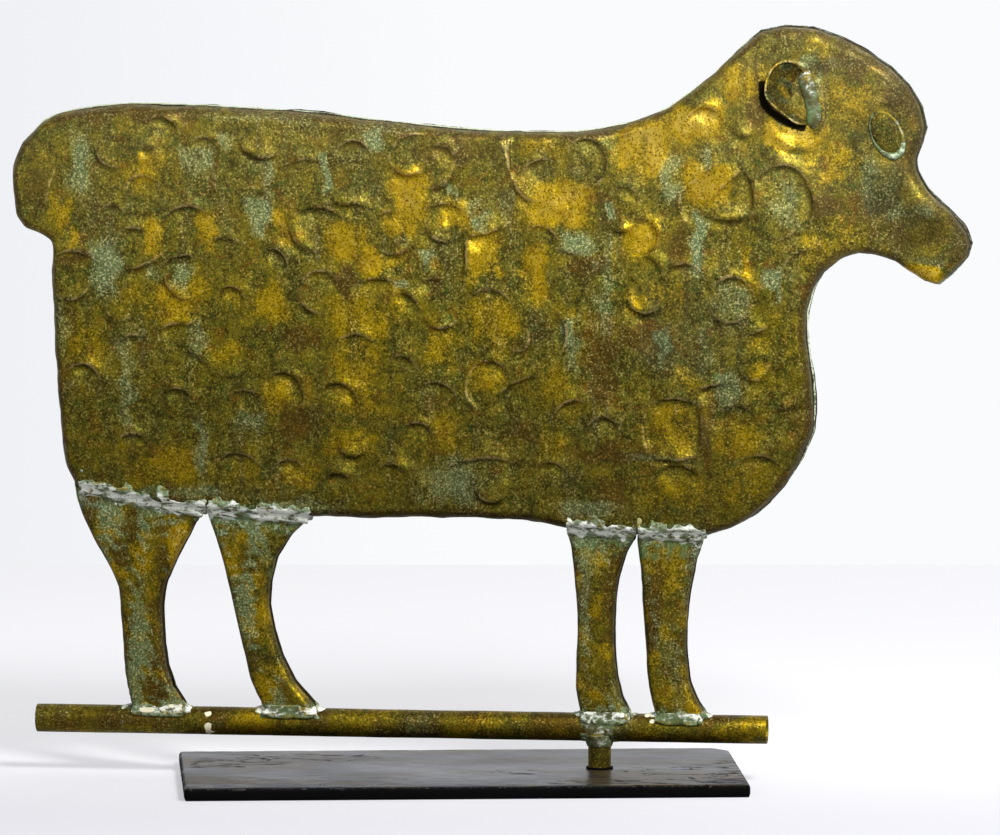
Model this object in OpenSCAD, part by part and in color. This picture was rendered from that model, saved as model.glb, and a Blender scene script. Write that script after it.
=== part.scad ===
// Sheep weathervane in hammered sheet copper, on a steel display stand.
// Millimetres. +X points from the tail to the head along the mounting tube, +Z is up.
// The origin is on the swivel axis, at the underside of the base plate.

/* [Sheep] */
// Length of the sheep from the tail to the nose
sheep_length = 751; // [626:1:900]
// Height of the sheep from the top of the mounting tube to the crown
sheep_height = 537; // [450:1:645]
// Half the thickness of the body, from the seam to the face of one side
body_half_depth = 24; // [20:0.5:30]
// Thickness of the copper sheet
sheet_t = 1; // [0.8:0.1:1.2]
// Depth of the upright wall of the body next to the seam
body_wall = 10; // [8:0.5:12]
// How far the rounded shoulder of the body turns in from the outline
body_turn_in = 7; // [5:0.5:8]
// Depth of the upright wall of a leg next to its seam
leg_wall = 5; // [3:0.5:7]
// How far the rounded shoulder of a leg turns in from its outline
leg_turn_in = 5; // [3:0.5:6]
// How far the feet reach down over the sides of the mounting tube
foot_lap = 8; // [5:0.5:10]

/* [Solder] */
// Gap between the two halves of the body, filled with solder
seam_gap = 1; // [0.6:0.1:1.5]
// How far the solder bead of the seam stands out of it
seam_proud = 0.8; // [0.5:0.1:1.5]
// Thickness of the solder round the leg tops and the feet
solder_t = 2.5; // [1.5:0.5:4]
// Height of the solder band at the top of each leg
leg_band_h = 9; // [6:0.5:12]
// How far that band runs on over the side of the belly
leg_band_over = 3; // [1:0.5:5]
// Height of the foot solder above the top of the mounting tube
foot_band_h = 5; // [3:0.5:8]

/* [Ears and eyes] */
// Height of the ear along its soldered front edge
ear_height = 40; // [32:1:48]
// Reach of the ear back from its soldered edge
ear_reach = 32; // [26:1:40]
// Width of the solder strip ahead of the ear
ear_strip = 8; // [5:0.5:12]
// How far the free edge of the ear stands off the head
ear_rise = 9; // [6:0.5:12]
// Long half axis of the domed eye
eye_long = 17.5; // [14:0.5:21]
// Short half axis of the domed eye
eye_short = 10.8; // [9:0.2:13]
// Height of the dome of the eye
eye_rise = 3.5; // [2:0.5:5]
// Slope of the eye's long axis below the horizontal
eye_slope = 63; // [45:1:80]
// Radius of the solder ring round the eye
eye_ring_r = 1.3; // [1:0.1:2]

/* [Mounting tube] */
// Outer diameter of the mounting tube
tube_d = 22.2; // [18.5:0.1:26.6]
// Wall of the mounting tube
tube_wall = 1.5; // [1.2:0.1:2]
// Length of the mounting tube behind the swivel axis
tube_back = 445.5; // [425:0.5:540]
// Length of the mounting tube ahead of the swivel axis
tube_ahead = 131.5; // [110:0.5:160]
// Chamfer of the tube ends
tube_chamfer = 0.8; // [0.3:0.1:1.2]

/* [Socket and spindle] */
// Diameter of the spindle rod
spindle_d = 14; // [11.7:0.1:16.8]
// Running clearance round the spindle, on the radius
running_gap = 0.06; // [0.02:0.01:0.1]
// Wall of the socket tube
socket_wall = 1.84; // [1.5:0.02:2.2]
// Length of the socket tube that shows under the mounting tube
socket_show = 20; // [16.7:0.1:24]
// Length of the socket tube inside the leg, above the mounting tube
socket_in_leg = 96; // [80:1:110]
// Play left between the top of the spindle and the top of the socket tube
spindle_short = 12; // [8:1:20]
// Diameter of the stepped foot of the spindle, inside the base plate
spindle_foot_d = 10; // [8:0.5:11]
// Chamfer of the spindle's top
spindle_chamfer = 1.5; // [0.5:0.1:2.5]
// Thickness of the thrust washer
washer_t = 1.5; // [1:0.1:2.5]
// Width of the washer's ring outside the spindle
washer_ring = 3.6; // [2.8:0.1:5]
// Reach of the solder fillet at the top of the socket
fillet_reach = 4.5; // [3:0.5:6]
// Height of the solder fillet at the top of the socket
fillet_h = 4; // [3:0.5:6]

/* [Base plate] */
// Length of the base plate
plate_length = 436; // [364:1:523]
// Depth of the base plate from front to back
plate_depth = 226; // [189:1:271]
// Thickness of the base plate
plate_t = 10; // [8.4:0.1:12]
// Distance from the swivel axis to the head end of the plate
plate_ahead = 110; // [90:1:150]
// Distance from the swivel axis to the plate's front edge
plate_front = 103; // [80:1:130]
// How far the plate is turned away from the sheep
plate_turn = 10.7; // [0:0.1:45]
// Radius of the plate's corners
plate_corner = 2.5; // [1:0.5:6]
// Chamfer of the plate's top edges
plate_chamfer = 1; // [0.5:0.1:2]

/* [Hidden] */

$fn = 96;
near = -1;
far = 1;
touch = 0.02;
cut_over = 1;

// Heights that follow from the stack: plate, washer, socket, mounting tube
washer_top = plate_t + washer_t;
tube_r = tube_d / 2;
tube_z = washer_top + socket_show + tube_r;
tube_top = tube_z + tube_r;

// The socket runs on the spindle, and the leg above is roomy enough to hold it
socket_bore_r = spindle_d / 2 + running_gap;
socket_r = socket_bore_r + socket_wall;
socket_top = tube_top + socket_in_leg;
spindle_top = socket_top - spindle_short;
leg_room = 0.3;
leg_half_depth = max(tube_r + sheet_t, socket_r + sheet_t + leg_room);
leg_least = socket_r + sheet_t + leg_room;

// The pattern is drawn at full size: x from the swivel axis, z from the top of the mounting tube
pattern_length = 751;
pattern_height = 537;
scale_x = sheep_length / pattern_length;
scale_z = sheep_height / pattern_height;

// Points of the body pattern, clockwise from the tail; a 1 in the third place marks a sharp corner
body_pattern = [
    [-461, 406, 0], [-460, 424, 0], [-453, 443, 0], [-438, 459, 0], [-414, 468, 0], [-370, 473, 0],
    [-311, 472, 0], [-222, 467, 0], [-159, 460, 0], [-80, 454, 0], [-20, 454, 0], [8, 458, 0],
    [33, 464, 0], [55, 474, 0], [73, 487, 0], [92, 502, 0], [111, 521, 0], [125, 533, 0],
    [144, 537, 0], [166, 536, 0], [188, 528, 0], [208, 517, 0], [226, 506, 0], [240, 492, 0],
    [250, 476, 0], [254, 459, 0], [250, 446, 0], [246, 436, 0], [247, 426, 0], [255, 412, 0],
    [268, 399, 0], [283, 384, 0], [289.4, 370, 0], [286, 359, 0], [274, 346, 0], [264, 338, 1],
    [253, 341, 0], [243, 348, 0], [230, 356, 0], [215, 361, 0], [201, 362, 0], [188, 358, 0],
    [175, 347, 0], [167, 334, 0], [162, 315, 0], [162, 299, 0], [164, 281, 0], [167, 264, 0],
    [168, 246, 0], [167, 223, 0], [158, 201, 0], [145, 181, 0], [132, 166, 0], [120, 156, 0],
    [102, 147, 0], [84, 141, 0], [30, 142, 0], [-26, 146, 0], [-52, 151, 0], [-116, 153, 0],
    [-226, 152, 0], [-313, 157, 0], [-411, 173, 1], [-419, 188, 0], [-423, 213, 0], [-426, 255, 0],
    [-429, 317, 0], [-430, 350, 0], [-430, 365, 1], [-440, 371, 0], [-451, 375, 0], [-459, 386, 0]
];

// Each leg: its back edge from the top down, then its front edge from the foot up
rear_hind_pattern = [
    [[-414, 176], [-412, 163], [-406, 146], [-397, 128], [-385, 108], [-379, 94], [-377, 68], [-373, 20],
     [-370, 2]],
    [[-326, 1], [-335, 15], [-341, 32], [-344, 55], [-345, 80], [-342, 98], [-333, 118], [-323, 136],
     [-313, 155]]
];
front_hind_pattern = [
    [[-308, 154], [-301, 132], [-294, 107], [-286, 72], [-280, 47], [-275, 25], [-270, 11], [-264, 1]],
    [[-221, 0], [-228, 7], [-240, 21], [-250, 41], [-256, 60], [-260, 81], [-259, 100], [-254, 119],
     [-243, 136], [-227, 151]]
];
rear_fore_pattern = [
    [[-26, 146], [-21, 129], [-19, 106], [-17, 83], [-17, 50], [-18, 21], [-16, 7], [-14, 0]],
    [[25, 0], [18, 13], [14, 30], [12, 50], [12, 83], [15, 105], [21, 125], [28, 138]]
];
front_fore_pattern = [
    [[30, 137], [33, 114], [35, 87], [37, 55], [39, 22], [42, 8], [45, 1]],
    [[84, 0], [77, 12], [71, 26], [68.5, 46], [68.5, 71], [72, 99], [76, 121], [82, 141]]
];

// Places on the head, in the pattern's own coordinates
ear_place = [162, 461];
eye_place = [226, 457];

// Fineness of the smooth curves through the pattern points
curve_step = 24;
shoulder_steps = 3;

// A point of the pattern at the size that is set
function sized(p) = [p[0] * scale_x, tube_top + p[1] * scale_z];

// A smooth cubic curve from b to c that runs on evenly from a before it and to d after it
function between(a, b, c, d, t) =
    let (
        start_slope = (c - a) / 2,
        end_slope = (d - b) / 2,
        rise = c - b
    )
    b + start_slope * t
        + (3 * rise - 2 * start_slope - end_slope) * t * t
        + (start_slope + end_slope - 2 * rise) * t * t * t;
function flat(p) = [p[0], p[1]];
function is_sharp(p) = len(p) > 2 && p[2] == 1;

// A closed smooth outline through the points, broken at the sharp ones
function smooth_loop(p) = let (n = len(p)) [
    for (i = [0 : n - 1])
        let (
            b = p[i],
            c = p[(i + 1) % n],
            a = is_sharp(b) ? b : p[(i + n - 1) % n],
            d = is_sharp(c) ? c : p[(i + 2) % n],
            parts = max(1, ceil(norm(flat(c) - flat(b)) / curve_step))
        )
        for (k = [0 : parts - 1]) between(flat(a), flat(b), flat(c), flat(d), k / parts)
];

// An open smooth line through the points
function smooth_line(p) = let (n = len(p)) [
    for (i = [0 : n - 2])
        let (
            a = p[max(i - 1, 0)],
            d = p[min(i + 2, n - 1)],
            parts = max(1, ceil(norm(p[i + 1] - p[i]) / curve_step))
        )
        for (k = [0 : i < n - 2 ? parts - 1 : parts]) between(a, p[i], p[i + 1], d, k / parts)
];

// Unit normal of the edge from a to b, pointing out of a clockwise loop
function outward(a, b) = let (d = b - a) [-d[1], d[0]] / norm(d);

// The loop moved inwards by d, or outwards where d is negative; a sharp corner moves 1.3 times d at most
corner_limit = 1.3;
function inset(loop, d) = let (n = len(loop)) [
    for (i = [0 : n - 1])
        let (
            u = outward(loop[(i + n - 1) % n], loop[i]),
            v = outward(loop[i], loop[(i + 1) % n]),
            m = (u + v) / norm(u + v)
        )
        loop[i] - m * min(d / (m * u), corner_limit * abs(d))
];

body_outline = smooth_loop([for (p = body_pattern) [sized(p)[0], sized(p)[1], p[2]]]);

// A leg's closed outline, drawn past the belly above and past the tube below so that both can trim it
function leg_outline(pattern, least) =
    let (
        back = [for (p = pattern[0]) let (q = sized(p)) [least > 0 ? min(q[0], -least) : q[0], q[1]]],
        front = [for (p = pattern[1]) let (q = sized(p)) [least > 0 ? max(q[0], least) : q[0], q[1]]],
        lift = [0, leg_band_h + leg_half_depth],
        drop = [0, tube_r + cut_over]
    )
    concat(
        [back[0] + lift],
        smooth_line(back),
        [back[len(back) - 1] - drop, front[0] - drop],
        smooth_line(front),
        [front[len(front) - 1] + lift]
    );
function reversed(list) = [for (i = [len(list) - 1 : -1 : 0]) list[i]];

rear_hind_outline = reversed(leg_outline(rear_hind_pattern, 0));
front_hind_outline = reversed(leg_outline(front_hind_pattern, 0));
rear_fore_outline = reversed(leg_outline(rear_fore_pattern, leg_least));
front_fore_outline = reversed(leg_outline(front_fore_pattern, 0));

// One half of a hollow sheet form, open at the seam: a rim with a wall and a rounded shoulder, and its face
module dished_half(loop, depth, wall, turn_in, seam, side) {
    n = len(loop);
    face_in = turn_in + sheet_t;
    arc = [for (k = [1 : shoulder_steps]) 90 * k / shoulder_steps];
    section = concat(
        [[0, seam], [0, wall]],
        [for (a = arc) [turn_in * (1 - cos(a)), wall + (depth - wall) * sin(a)]],
        [[face_in, depth]],
        [for (a = reversed(arc))
            [sheet_t + turn_in * (1 - cos(a)), wall + (depth - sheet_t - wall) * sin(a)]],
        [[sheet_t, wall], [sheet_t, seam]]
    );
    count = len(section);
    bands = [
        for (j = [0 : count - 1])
            for (i = [0 : n - 1])
                let (next_i = (i + 1) % n, next_j = (j + 1) % count)
                [j * n + i, j * n + next_i, next_j * n + next_i, next_j * n + i]
    ];
    polyhedron(
        points = [for (s = section) for (p = inset(loop, s[0])) [p[0], side * s[1], p[1]]],
        faces = side < 0 ? bands : [for (f = bands) reversed(f)],
        convexity = 12
    );
    slab(inset(loop, face_in), side < 0 ? -depth : depth - sheet_t, side < 0 ? sheet_t - depth : depth);
}

// A slab with the loop's outline, from depth y0 to y1
module slab(loop, y0, y1) {
    translate([0, y1, 0])
        rotate([90, 0, 0])
            linear_extrude(height = y1 - y0) polygon(loop);
}

module tube_space(clearance) {
    translate([-tube_back - cut_over, 0, tube_z])
        rotate([0, 90, 0])
            cylinder(r = tube_r + clearance, h = tube_back + tube_ahead + 2 * cut_over);
}

module base_plate() {
    color("dimgray")
        rotate([0, 0, plate_turn])
            translate([plate_ahead - plate_length, -plate_front, 0])
                difference() {
                    linear_extrude(height = plate_t)
                        rounded_rectangle(plate_length, plate_depth, plate_corner);
                    translate([plate_length - plate_ahead, plate_front, -cut_over])
                        cylinder(d = spindle_foot_d, h = plate_t + 2 * cut_over);
                    for (side = [0, 1]) {
                        translate([0, side * plate_depth, plate_t]) edge_cut(plate_length, 0);
                        translate([side * plate_length, 0, plate_t]) edge_cut(plate_depth, 90);
                    }
                }
}

module rounded_rectangle(l, w, r) {
    translate([r, 0]) square([l - 2 * r, w]);
    translate([0, r]) square([l, w - 2 * r]);
    for (x = [r, l - r]) for (y = [r, w - r]) translate([x, y]) circle(r = r);
}

// A long square bar on its corner, which cuts a chamfer along an edge
module edge_cut(l, turn) {
    rotate([0, 0, turn])
        translate([-cut_over, 0, 0])
            rotate([45, 0, 0])
                translate([0, -plate_chamfer / sqrt(2), -plate_chamfer / sqrt(2)])
                    cube([l + 2 * cut_over, plate_chamfer * sqrt(2), plate_chamfer * sqrt(2)]);
}

module spindle_rod() {
    color("slategray") {
        cylinder(d = spindle_foot_d, h = plate_t);
        translate([0, 0, plate_t]) cylinder(d = spindle_d, h = spindle_top - spindle_chamfer - plate_t);
        translate([0, 0, spindle_top - spindle_chamfer])
            cylinder(d1 = spindle_d, d2 = spindle_d - 2 * spindle_chamfer, h = spindle_chamfer);
    }
}

module thrust_washer() {
    color("black")
        translate([0, 0, plate_t])
            difference() {
                cylinder(r = spindle_d / 2 + washer_ring, h = washer_t);
                translate([0, 0, -cut_over])
                    cylinder(r = socket_bore_r, h = washer_t + 2 * cut_over);
            }
}

module socket_tube() {
    color("peru")
        translate([0, 0, washer_top])
            difference() {
                cylinder(r = socket_r, h = socket_top - washer_top);
                translate([0, 0, -cut_over])
                    cylinder(r = socket_bore_r, h = socket_top - washer_top + 2 * cut_over);
            }
}

module socket_solder() {
    color("darkgray")
        difference() {
            translate([0, 0, tube_z - tube_r - fillet_h])
                cylinder(r1 = socket_r + 0.6, r2 = socket_r + fillet_reach, h = fillet_h + tube_r / 2);
            translate([0, 0, washer_top - cut_over])
                cylinder(r = socket_r, h = tube_top - washer_top);
            tube_space(0);
        }
}

module mounting_tube() {
    long = tube_back + tube_ahead;
    bore_r = tube_r - tube_wall;
    color("peru")
        difference() {
            translate([-tube_back, 0, tube_z])
                rotate([0, 90, 0])
                    difference() {
                        union() {
                            cylinder(r1 = tube_r - tube_chamfer, r2 = tube_r, h = tube_chamfer);
                            translate([0, 0, tube_chamfer])
                                cylinder(r = tube_r, h = long - 2 * tube_chamfer);
                            translate([0, 0, long - tube_chamfer])
                                cylinder(r1 = tube_r, r2 = tube_r - tube_chamfer, h = tube_chamfer);
                        }
                        translate([0, 0, -cut_over]) cylinder(r = bore_r, h = long + 2 * cut_over);
                    }
            translate([0, 0, tube_z - tube_d]) cylinder(r = socket_r + touch, h = 2 * tube_d);
        }
}

module body_half(side) {
    color("darkgoldenrod")
        dished_half(body_outline, body_half_depth, body_wall, body_turn_in, seam_gap / 2, side);
}
module body_near_half() { body_half(near); }
module body_far_half() { body_half(far); }

module body_seam_solder() {
    color("darkseagreen")
        difference() {
            slab(inset(body_outline, -seam_proud), -seam_gap / 2, seam_gap / 2);
            slab(inset(body_outline, sheet_t), -seam_gap, seam_gap);
            for (loop = [rear_hind_outline, front_hind_outline, rear_fore_outline, front_fore_outline])
                difference() {
                    slab(inset(loop, -solder_t), -seam_gap, seam_gap);
                    slab(body_outline, -2 * seam_gap, 2 * seam_gap);
                }
        }
}

module leg_half(loop, side) {
    color("goldenrod")
        difference() {
            dished_half(loop, leg_half_depth, leg_wall, leg_turn_in, 0, side);
            slab(body_outline, -body_half_depth, body_half_depth);
            tube_space(touch);
            translate([-tube_back, -body_half_depth, tube_top - foot_lap - tube_d])
                cube([tube_back + tube_ahead, 2 * body_half_depth, tube_d]);
        }
}
module rear_hind_leg_near_half() { leg_half(rear_hind_outline, near); }
module rear_hind_leg_far_half() { leg_half(rear_hind_outline, far); }
module front_hind_leg_near_half() { leg_half(front_hind_outline, near); }
module front_hind_leg_far_half() { leg_half(front_hind_outline, far); }
module rear_fore_leg_near_half() { leg_half(rear_fore_outline, near); }
module rear_fore_leg_far_half() { leg_half(rear_fore_outline, far); }
module front_fore_leg_near_half() { leg_half(front_fore_outline, near); }
module front_fore_leg_far_half() { leg_half(front_fore_outline, far); }

// Where two legs of a pair part at the belly, halfway between them
hind_fork = (sized(rear_hind_pattern[1][8])[0] + sized(front_hind_pattern[0][0])[0]) / 2;
fore_fork = (sized(rear_fore_pattern[1][7])[0] + sized(front_fore_pattern[0][0])[0]) / 2;

// The solder round a leg where it meets the belly, up to the fork that it shares with the next leg
module top_solder(pattern, loop, fork, ahead) {
    reach = leg_half_depth + solder_t;
    back_top = sized(pattern[0][0]);
    front_top = sized(pattern[1][len(pattern[1]) - 1]);
    across = front_top - back_top;
    wide = norm(across) + 4 * solder_t;
    color("darkgray")
        difference() {
            intersection() {
                slab(inset(loop, -solder_t), -reach, reach);
                translate([back_top[0], 0, back_top[1]])
                    rotate([0, -atan2(across[1], across[0]), 0])
                        translate([-2 * solder_t, -reach, -leg_band_h])
                            cube([wide, 2 * reach, leg_band_h + leg_band_over]);
                translate([ahead ? fork : fork - 2 * wide, -reach, tube_top])
                    cube([2 * wide, 2 * reach, sheep_height]);
            }
            slab(loop, -leg_half_depth, leg_half_depth);
            slab(body_outline, -body_half_depth, body_half_depth);
        }
}
module rear_hind_leg_top_solder() { top_solder(rear_hind_pattern, rear_hind_outline, hind_fork, false); }
module front_hind_leg_top_solder() { top_solder(front_hind_pattern, front_hind_outline, hind_fork, true); }
module rear_fore_leg_top_solder() { top_solder(rear_fore_pattern, rear_fore_outline, fore_fork, false); }
module front_fore_leg_top_solder() { top_solder(front_fore_pattern, front_fore_outline, fore_fork, true); }

// The solder round a foot where it straddles the mounting tube
module foot_solder(loop) {
    reach = leg_half_depth + solder_t;
    color("darkgray")
        difference() {
            intersection() {
                slab(inset(loop, -solder_t), -reach, reach);
                translate([-tube_back, -reach, tube_top - foot_lap])
                    cube([tube_back + tube_ahead, 2 * reach, foot_lap + foot_band_h]);
            }
            slab(loop, -leg_half_depth, leg_half_depth);
            tube_space(touch);
        }
}
module rear_hind_foot_solder() { foot_solder(rear_hind_outline); }
module front_hind_foot_solder() { foot_solder(front_hind_outline); }
module rear_fore_foot_solder() { foot_solder(rear_fore_outline); }
module front_fore_foot_solder() { foot_solder(front_fore_outline); }

// The ear is a cupped leaf: u runs back from the soldered edge, v runs up
ear_columns = 6;
ear_rows = 10;
ear_lean = 6;
ear_tip = 12;
function ear_point(u, v, y) =
    let (
        place = sized(ear_place),
        swing = 2 * v - 1,
        width = ear_reach * (0.35 + 0.65 * sqrt(max(0, 1 - pow(abs(swing), 2.4)))),
        stand = ear_rise * (u * u + 0.3 * u * swing * swing)
    )
    [
        place[0] - u * width - ear_lean * v * (1 - u),
        near * (body_half_depth + touch + stand) - y,
        place[1] + v * (ear_height + ear_tip * u)
    ];

module ear_leaf() {
    columns = ear_columns + 1;
    rows = ear_rows + 1;
    count = rows * columns;
    points = [
        for (y = [sheet_t, 0])
            for (j = [0 : ear_rows])
                for (i = [0 : ear_columns]) ear_point(i / ear_columns, j / ear_rows, y)
    ];
    rim = concat(
        [for (i = [0 : ear_columns - 1]) i],
        [for (j = [0 : ear_rows - 1]) j * columns + ear_columns],
        [for (i = [ear_columns : -1 : 1]) ear_rows * columns + i],
        [for (j = [ear_rows : -1 : 1]) j * columns]
    );
    outer = [
        for (j = [0 : ear_rows - 1]) for (i = [0 : ear_columns - 1])
            for (f = [[0, 1, columns + 1], [0, columns + 1, columns]]) [for (k = f) k + j * columns + i]
    ];
    side = [
        for (k = [0 : len(rim) - 1])
            let (a = rim[k], b = rim[(k + 1) % len(rim)])
            for (f = [[a, a + count, b + count], [a, b + count, b]]) f
    ];
    polyhedron(points, concat(outer, [for (f = outer) [f[2] + count, f[1] + count, f[0] + count]], side));
}
module ear_near() { color("olive") ear_leaf(); }
module ear_far() { color("olive") mirror([0, 1, 0]) ear_leaf(); }

// The strip of solder ahead of the ear's edge
module ear_solder() {
    place = sized(ear_place);
    color("lightgray")
        translate([place[0] + touch, near * (body_half_depth + touch + sheet_t), place[1]])
            cube([ear_strip, sheet_t, ear_height]);
}
module ear_solder_near() { ear_solder(); }
module ear_solder_far() { mirror([0, 1, 0]) ear_solder(); }

// The eye is an oval dome on the side of the head
eye_sides = 28;
eye_levels = 4;
function oval(a, long, short) = [
    long * cos(a) * cos(eye_slope) + short * sin(a) * sin(eye_slope),
    -long * cos(a) * sin(eye_slope) + short * sin(a) * cos(eye_slope)
];
function eye_ring_points(level) =
    let (up = 90 * level / eye_levels, place = sized(eye_place))
    [for (i = [0 : eye_sides - 1])
        let (p = oval(360 * i / eye_sides, eye_long * cos(up), eye_short * cos(up)))
        [place[0] + p[0], near * (body_half_depth + touch + eye_rise * sin(up)), place[1] + p[1]]];

module eye_dome() {
    place = sized(eye_place);
    top = eye_levels * eye_sides;
    points = concat(
        [for (level = [0 : eye_levels - 1]) for (p = eye_ring_points(level)) p],
        [[place[0], near * (body_half_depth + touch + eye_rise), place[1]]]
    );
    faces = concat(
        [[for (i = [0 : eye_sides - 1]) i]],
        [for (level = [0 : eye_levels - 2]) for (i = [0 : eye_sides - 1])
            let (a = level * eye_sides + i, b = level * eye_sides + (i + 1) % eye_sides)
            for (f = [[a, a + eye_sides, b + eye_sides], [a, b + eye_sides, b]]) f],
        [for (i = [0 : eye_sides - 1])
            [(eye_levels - 1) * eye_sides + i, top, (eye_levels - 1) * eye_sides + (i + 1) % eye_sides]]
    );
    polyhedron(points, faces);
}
module eye_near() { color("darkolivegreen") eye_dome(); }
module eye_far() { color("darkolivegreen") mirror([0, 1, 0]) eye_dome(); }

// The ring of solder round the eye, of a six-sided section that lies flat on the head
ring_sides = 6;
module eye_solder() {
    place = sized(eye_place);
    points = [
        for (i = [0 : eye_sides - 1]) for (j = [0 : ring_sides - 1])
            let (
                a = 360 * i / eye_sides,
                b = 360 * j / ring_sides,
                rise = eye_ring_r * (sin(b) + sin(360 / ring_sides)),
                grow = eye_ring_r * (1 + cos(b)) + touch,
                p = oval(a, eye_long + grow, eye_short + grow)
            )
            [place[0] + p[0], near * (body_half_depth + touch + rise), place[1] + p[1]]
    ];
    faces = [
        for (i = [0 : eye_sides - 1]) for (j = [0 : ring_sides - 1])
            let (
                a = i * ring_sides + j,
                b = i * ring_sides + (j + 1) % ring_sides,
                c = ((i + 1) % eye_sides) * ring_sides + j,
                d = ((i + 1) % eye_sides) * ring_sides + (j + 1) % ring_sides
            )
            for (f = [[a, b, d], [a, d, c]]) f
    ];
    color("darkseagreen") polyhedron(points, faces);
}
module eye_solder_near() { eye_solder(); }
module eye_solder_far() { mirror([0, 1, 0]) eye_solder(); }

base_plate();
spindle_rod();
thrust_washer();
socket_tube();
socket_solder();
mounting_tube();
body_near_half();
body_far_half();
body_seam_solder();
rear_hind_leg_near_half();
rear_hind_leg_far_half();
front_hind_leg_near_half();
front_hind_leg_far_half();
rear_fore_leg_near_half();
rear_fore_leg_far_half();
front_fore_leg_near_half();
front_fore_leg_far_half();
rear_hind_leg_top_solder();
front_hind_leg_top_solder();
rear_fore_leg_top_solder();
front_fore_leg_top_solder();
rear_hind_foot_solder();
front_hind_foot_solder();
rear_fore_foot_solder();
front_fore_foot_solder();
ear_near();
ear_far();
ear_solder_near();
ear_solder_far();
eye_near();
eye_far();
eye_solder_near();
eye_solder_far();
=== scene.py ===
# %% [markdown]
# A sheep weathervane of hammered sheet copper, on a flat steel display stand.
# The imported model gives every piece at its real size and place. This notebook gives the pieces
# their surface: wool locks punched into the sheet, lumpy solder, worn gilding and green patina.
# Each step says what the real thing is, how it could be modelled, and why one way was taken.

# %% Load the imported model
import math
import random

import bpy
import numpy as np
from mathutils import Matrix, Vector


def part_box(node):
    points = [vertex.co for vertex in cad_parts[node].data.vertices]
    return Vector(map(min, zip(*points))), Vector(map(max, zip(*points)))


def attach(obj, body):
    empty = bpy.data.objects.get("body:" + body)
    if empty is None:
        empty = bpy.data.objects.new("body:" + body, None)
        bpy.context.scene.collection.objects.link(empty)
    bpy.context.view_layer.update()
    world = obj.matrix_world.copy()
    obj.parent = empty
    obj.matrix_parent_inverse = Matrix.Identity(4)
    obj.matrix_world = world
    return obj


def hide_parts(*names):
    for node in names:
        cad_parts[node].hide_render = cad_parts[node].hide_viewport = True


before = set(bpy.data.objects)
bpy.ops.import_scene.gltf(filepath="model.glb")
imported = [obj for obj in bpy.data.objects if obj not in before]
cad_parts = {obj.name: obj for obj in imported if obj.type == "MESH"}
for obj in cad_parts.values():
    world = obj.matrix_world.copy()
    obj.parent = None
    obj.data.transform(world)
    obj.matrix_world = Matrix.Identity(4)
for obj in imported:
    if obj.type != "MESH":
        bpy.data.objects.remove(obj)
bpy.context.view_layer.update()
MM = 0.001
NEAR, FAR = -1, 1
SIDES = {"near": NEAR, "far": FAR}

# %% [markdown]
# ## The camera and the places seen in the photograph
# The photograph was taken with a long lens from a little above, turned slightly to the head's side.
# The camera could be set by eye, but then the marks on the copper would not land where they are.
# Here its angles and distance are given once, and the same numbers turn a place in the
# 1000 x 835 picture into a place on the sheep's near face.

# %% Camera
AZIMUTH, RISE = math.radians(7.66), math.radians(5.22)
DISTANCE = 7.0
TARGET = Vector((-0.0784, 0, 0.284))
PICTURE_WIDE, PICTURE_HIGH = 1000, 835
FOCAL_PIXELS = 8989
SENSOR = 36

toward_camera = Vector((
    math.sin(AZIMUTH) * math.cos(RISE),
    -math.cos(AZIMUTH) * math.cos(RISE),
    math.sin(RISE),
))
picture_right = Vector((math.cos(AZIMUTH), math.sin(AZIMUTH), 0))
picture_up = toward_camera.cross(picture_right)

camera_data = bpy.data.cameras.new("camera")
camera_data.sensor_width = SENSOR
camera_data.lens = FOCAL_PIXELS * SENSOR / PICTURE_WIDE
camera_data.clip_end = 50
camera = bpy.data.objects.new("camera", camera_data)
camera.location = TARGET + toward_camera * DISTANCE
camera.rotation_euler = toward_camera.to_track_quat("Z", "Y").to_euler()
bpy.context.scene.collection.objects.link(camera)
bpy.context.scene.camera = camera
PIXEL = DISTANCE / FOCAL_PIXELS / MM
print("one pixel is", round(PIXEL, 3), "mm at the sheep")


# %% Turning a pixel into a place on the sheep's near face
FACE_DEPTH = -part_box("body_near_half")[0].y


def sight_line(u, v):
    """The direction in which the camera sees pixel (u, v)."""
    across = (u - PICTURE_WIDE / 2) / FOCAL_PIXELS
    down = (v - PICTURE_HIGH / 2) / FOCAL_PIXELS
    return picture_right * across - picture_up * down - toward_camera


def on_face(u, v, depth=FACE_DEPTH):
    """The x and z, in millimetres, where pixel (u, v) meets the upright plane at this depth."""
    ray = sight_line(u, v)
    place = camera.location + ray * ((-depth - camera.location.y) / ray.y)
    return np.array((place.x, place.z)) / MM


print("the eye's middle is at", on_face(886, 133).round(1), "mm")

# %% [markdown]
# ## Helpers for working as by hand
# An operator works on what is selected, so each helper first selects one piece alone.
# A modifier is applied as soon as it is set, so every piece ends as a plain mesh.


# %% Selecting and editing one piece
def only(piece):
    """Selects one piece alone, in object mode."""
    bpy.ops.object.select_all(action="DESELECT")
    piece.select_set(True)
    bpy.context.view_layer.objects.active = piece


def edit(piece, *steps):
    """Runs edit-mode operators on the whole mesh, each given as (operator, settings)."""
    only(piece)
    bpy.ops.object.mode_set(mode="EDIT")
    bpy.ops.mesh.select_mode(type="VERT")
    bpy.ops.mesh.select_all(action="SELECT")
    for operator, settings in steps:
        operator(**settings)
    bpy.ops.object.mode_set(mode="OBJECT")


def finish_with(piece, kind, **settings):
    """Adds a modifier, sets it and applies it."""
    only(piece)
    modifier = piece.modifiers.new(kind.lower(), kind)
    for key, value in settings.items():
        setattr(modifier, key, value)
    bpy.ops.object.modifier_apply(modifier=modifier.name)


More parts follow.
